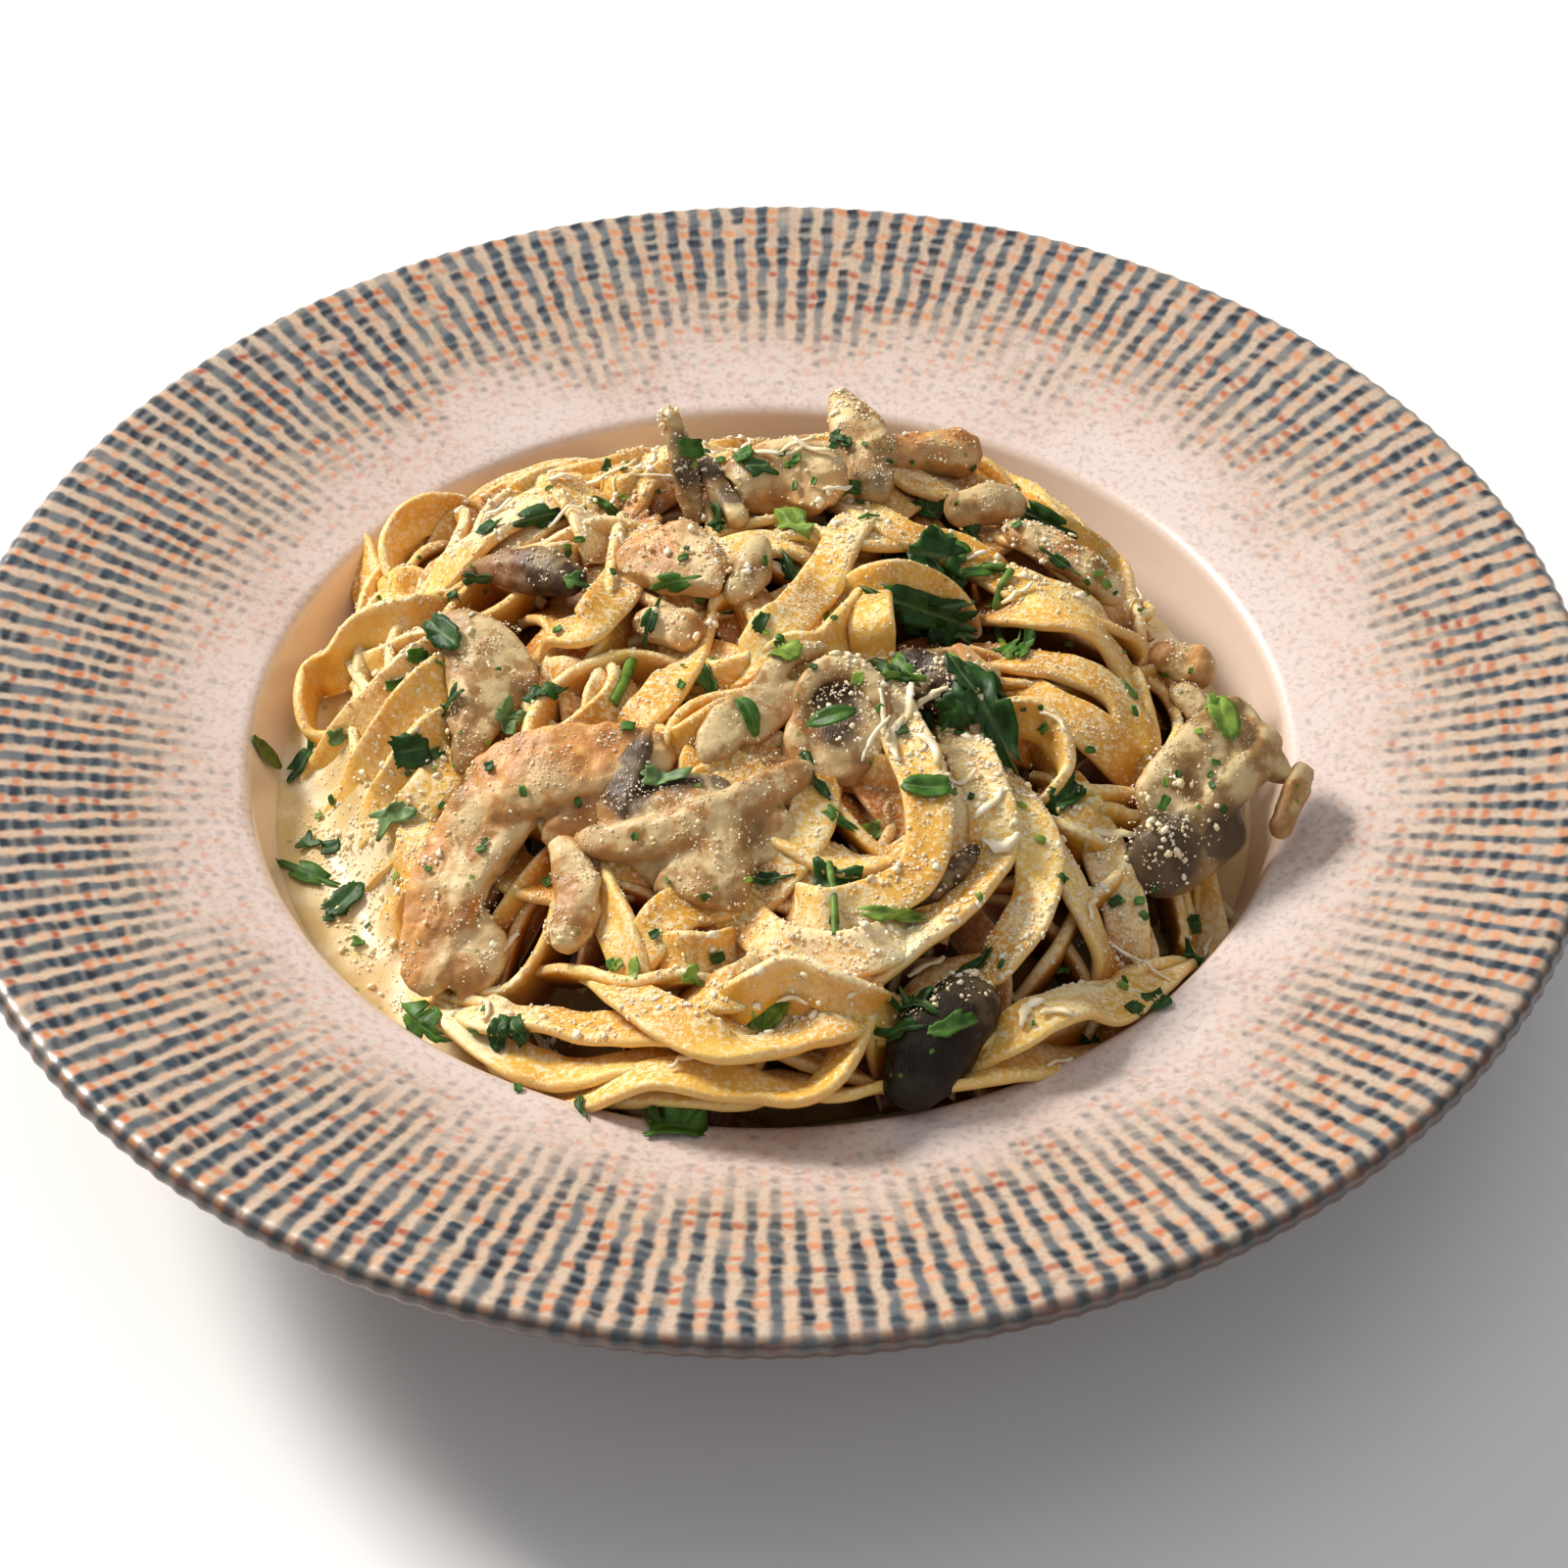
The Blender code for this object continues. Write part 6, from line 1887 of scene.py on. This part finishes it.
class AlfredoSizes(PropertyGroup):
    ribbon_width: FloatProperty(name="Ribbon width", description="Width of one cooked ribbon of pasta",
                                default=0.0075, min=0.003, max=0.012, unit="LENGTH")
    ribbon_thickness: FloatProperty(name="Ribbon thickness", description="Thickness of one cooked ribbon",
                                    default=0.0019, min=0.0008, max=0.003, unit="LENGTH")
    rib_height: FloatProperty(name="Rim rib height", description="How far the rim's ribs rise and fall",
                              default=0.00016, min=0.0, max=0.0005, precision=5, unit="LENGTH")
    crumbs: IntProperty(name="Cheese crumbs", description="How many crumbs of grated cheese are strewn",
                        default=8000, min=0, max=9500)
    clots: IntProperty(name="Cheese clots",
                       description="How many larger bits lie together where cheese fell thick",
                       default=1300, min=0, max=4000)
    dust: IntProperty(name="Cheese dust", description="How many of the finest grains of cheese are strewn",
                      default=15000, min=0, max=24000)
    fine_parsley: IntProperty(name="Fine parsley", description="How many loose bits of parsley are strewn",
                              default=130, min=0, max=400)


class AlfredoColours(PropertyGroup):
    glaze: colour_setting("Glaze body", "The plate's body colour under the clear glaze", "#D6C2B4")
    slate: colour_setting("Rim rows", "The soft slate strokes along the rim's rows", "#53626A")
    rust: colour_setting("Rim dabs", "The warm dabs between the rim's rows", "#D58A58")
    sauce: colour_setting("Cream sauce", "The reduced cream sauce", "#DCC08A")
    pasta: colour_setting("Pasta", "The egg pasta where light falls on it", "#E4AC42")
    film: colour_setting("Cream film", "The thin film of cream on the pasta", "#F0D494")
    chicken: colour_setting("Chicken", "The chicken's moist meat", "#BC8A4E")
    seared: colour_setting("Seared chicken", "The chicken where it met the pan", "#CE8A42")
    mushroom: colour_setting("Mushroom", "The flesh of the pale mushrooms", "#B08A58")
    dark_mushroom: colour_setting("Dark mushroom", "The flesh of the dark mushrooms", "#4C3520")
    parsley: colour_setting("Parsley", "The deep green of most of the parsley", "#2C5418")
    cheese: colour_setting("Cheese", "The finely grated hard cheese", "#F5E4BE")


# ---------------------------------------------------------------- operators

class ALFREDO_OT_plate(Operator):
    """Turn, rib and glaze the plate"""
    bl_idname = "alfredo.plate"
    bl_label = "Plate"

    def execute(self, context):
        build_plate()
        return {"FINISHED"}


class ALFREDO_OT_pasta(Operator):
    """Lay the ribbons of pasta over their core"""
    bl_idname = "alfredo.pasta"
    bl_label = "Pasta"

    def execute(self, context):
        build_pasta()
        return {"FINISHED"}


class ALFREDO_OT_sauce(Operator):
    """Pour the cream sauce into the well and over the lowest pasta"""
    bl_idname = "alfredo.sauce"
    bl_label = "Sauce"

    def execute(self, context):
        build_sauce()
        return {"FINISHED"}


class ALFREDO_OT_chicken(Operator):
    """Shape and brown the pieces of chicken"""
    bl_idname = "alfredo.chicken"
    bl_label = "Chicken"

    def execute(self, context):
        build_chicken()
        return {"FINISHED"}


class ALFREDO_OT_mushrooms(Operator):
    """Shape the sliced mushrooms with their skin and gills"""
    bl_idname = "alfredo.mushrooms"
    bl_label = "Mushrooms"

    def execute(self, context):
        build_mushrooms()
        return {"FINISHED"}


class ALFREDO_OT_parsley(Operator):
    """Strew the chopped parsley"""
    bl_idname = "alfredo.parsley"
    bl_label = "Parsley"

    def execute(self, context):
        build_parsley()
        return {"FINISHED"}


class ALFREDO_OT_cheese(Operator):
    """Grate the cheese over the dish"""
    bl_idname = "alfredo.cheese"
    bl_label = "Cheese"

    def execute(self, context):
        build_cheese()
        return {"FINISHED"}


class ALFREDO_OT_stage(Operator):
    """Set up the floor, lights and camera"""
    bl_idname = "alfredo.stage"
    bl_label = "Stage"

    def execute(self, context):
        build_stage()
        return {"FINISHED"}


STEPS = (ALFREDO_OT_plate, ALFREDO_OT_pasta, ALFREDO_OT_sauce, ALFREDO_OT_chicken, ALFREDO_OT_mushrooms,
         ALFREDO_OT_parsley, ALFREDO_OT_cheese, ALFREDO_OT_stage)


class ALFREDO_PT_panel(Panel):
    bl_idname = "ALFREDO_PT_panel"
    bl_label = "Fettuccine alfredo"
    bl_space_type = "VIEW_3D"
    bl_region_type = "UI"
    bl_category = "Alfredo"

    def draw(self, context):
        for group in (context.scene.alfredo_sizes, context.scene.alfredo_colours):
            box = self.layout.box()
            for name in group.__annotations__:
                box.prop(group, name)
        for step in STEPS:
            self.layout.operator(step.bl_idname)


CLASSES = (AlfredoSizes, AlfredoColours, *STEPS, ALFREDO_PT_panel)


def register():
    for cls in CLASSES:
        bpy.utils.register_class(cls)
    bpy.types.Scene.alfredo_sizes = PointerProperty(type=AlfredoSizes)
    bpy.types.Scene.alfredo_colours = PointerProperty(type=AlfredoColours)


def unregister():
    del bpy.types.Scene.alfredo_colours
    del bpy.types.Scene.alfredo_sizes
    for cls in reversed(CLASSES):
        bpy.utils.unregister_class(cls)


def main():
    register()
    for name in ("plate", "pasta", "sauce", "chicken", "mushrooms", "parsley", "cheese", "stage"):
        getattr(bpy.ops.alfredo, name)()


if __name__ == "__main__":
    main()
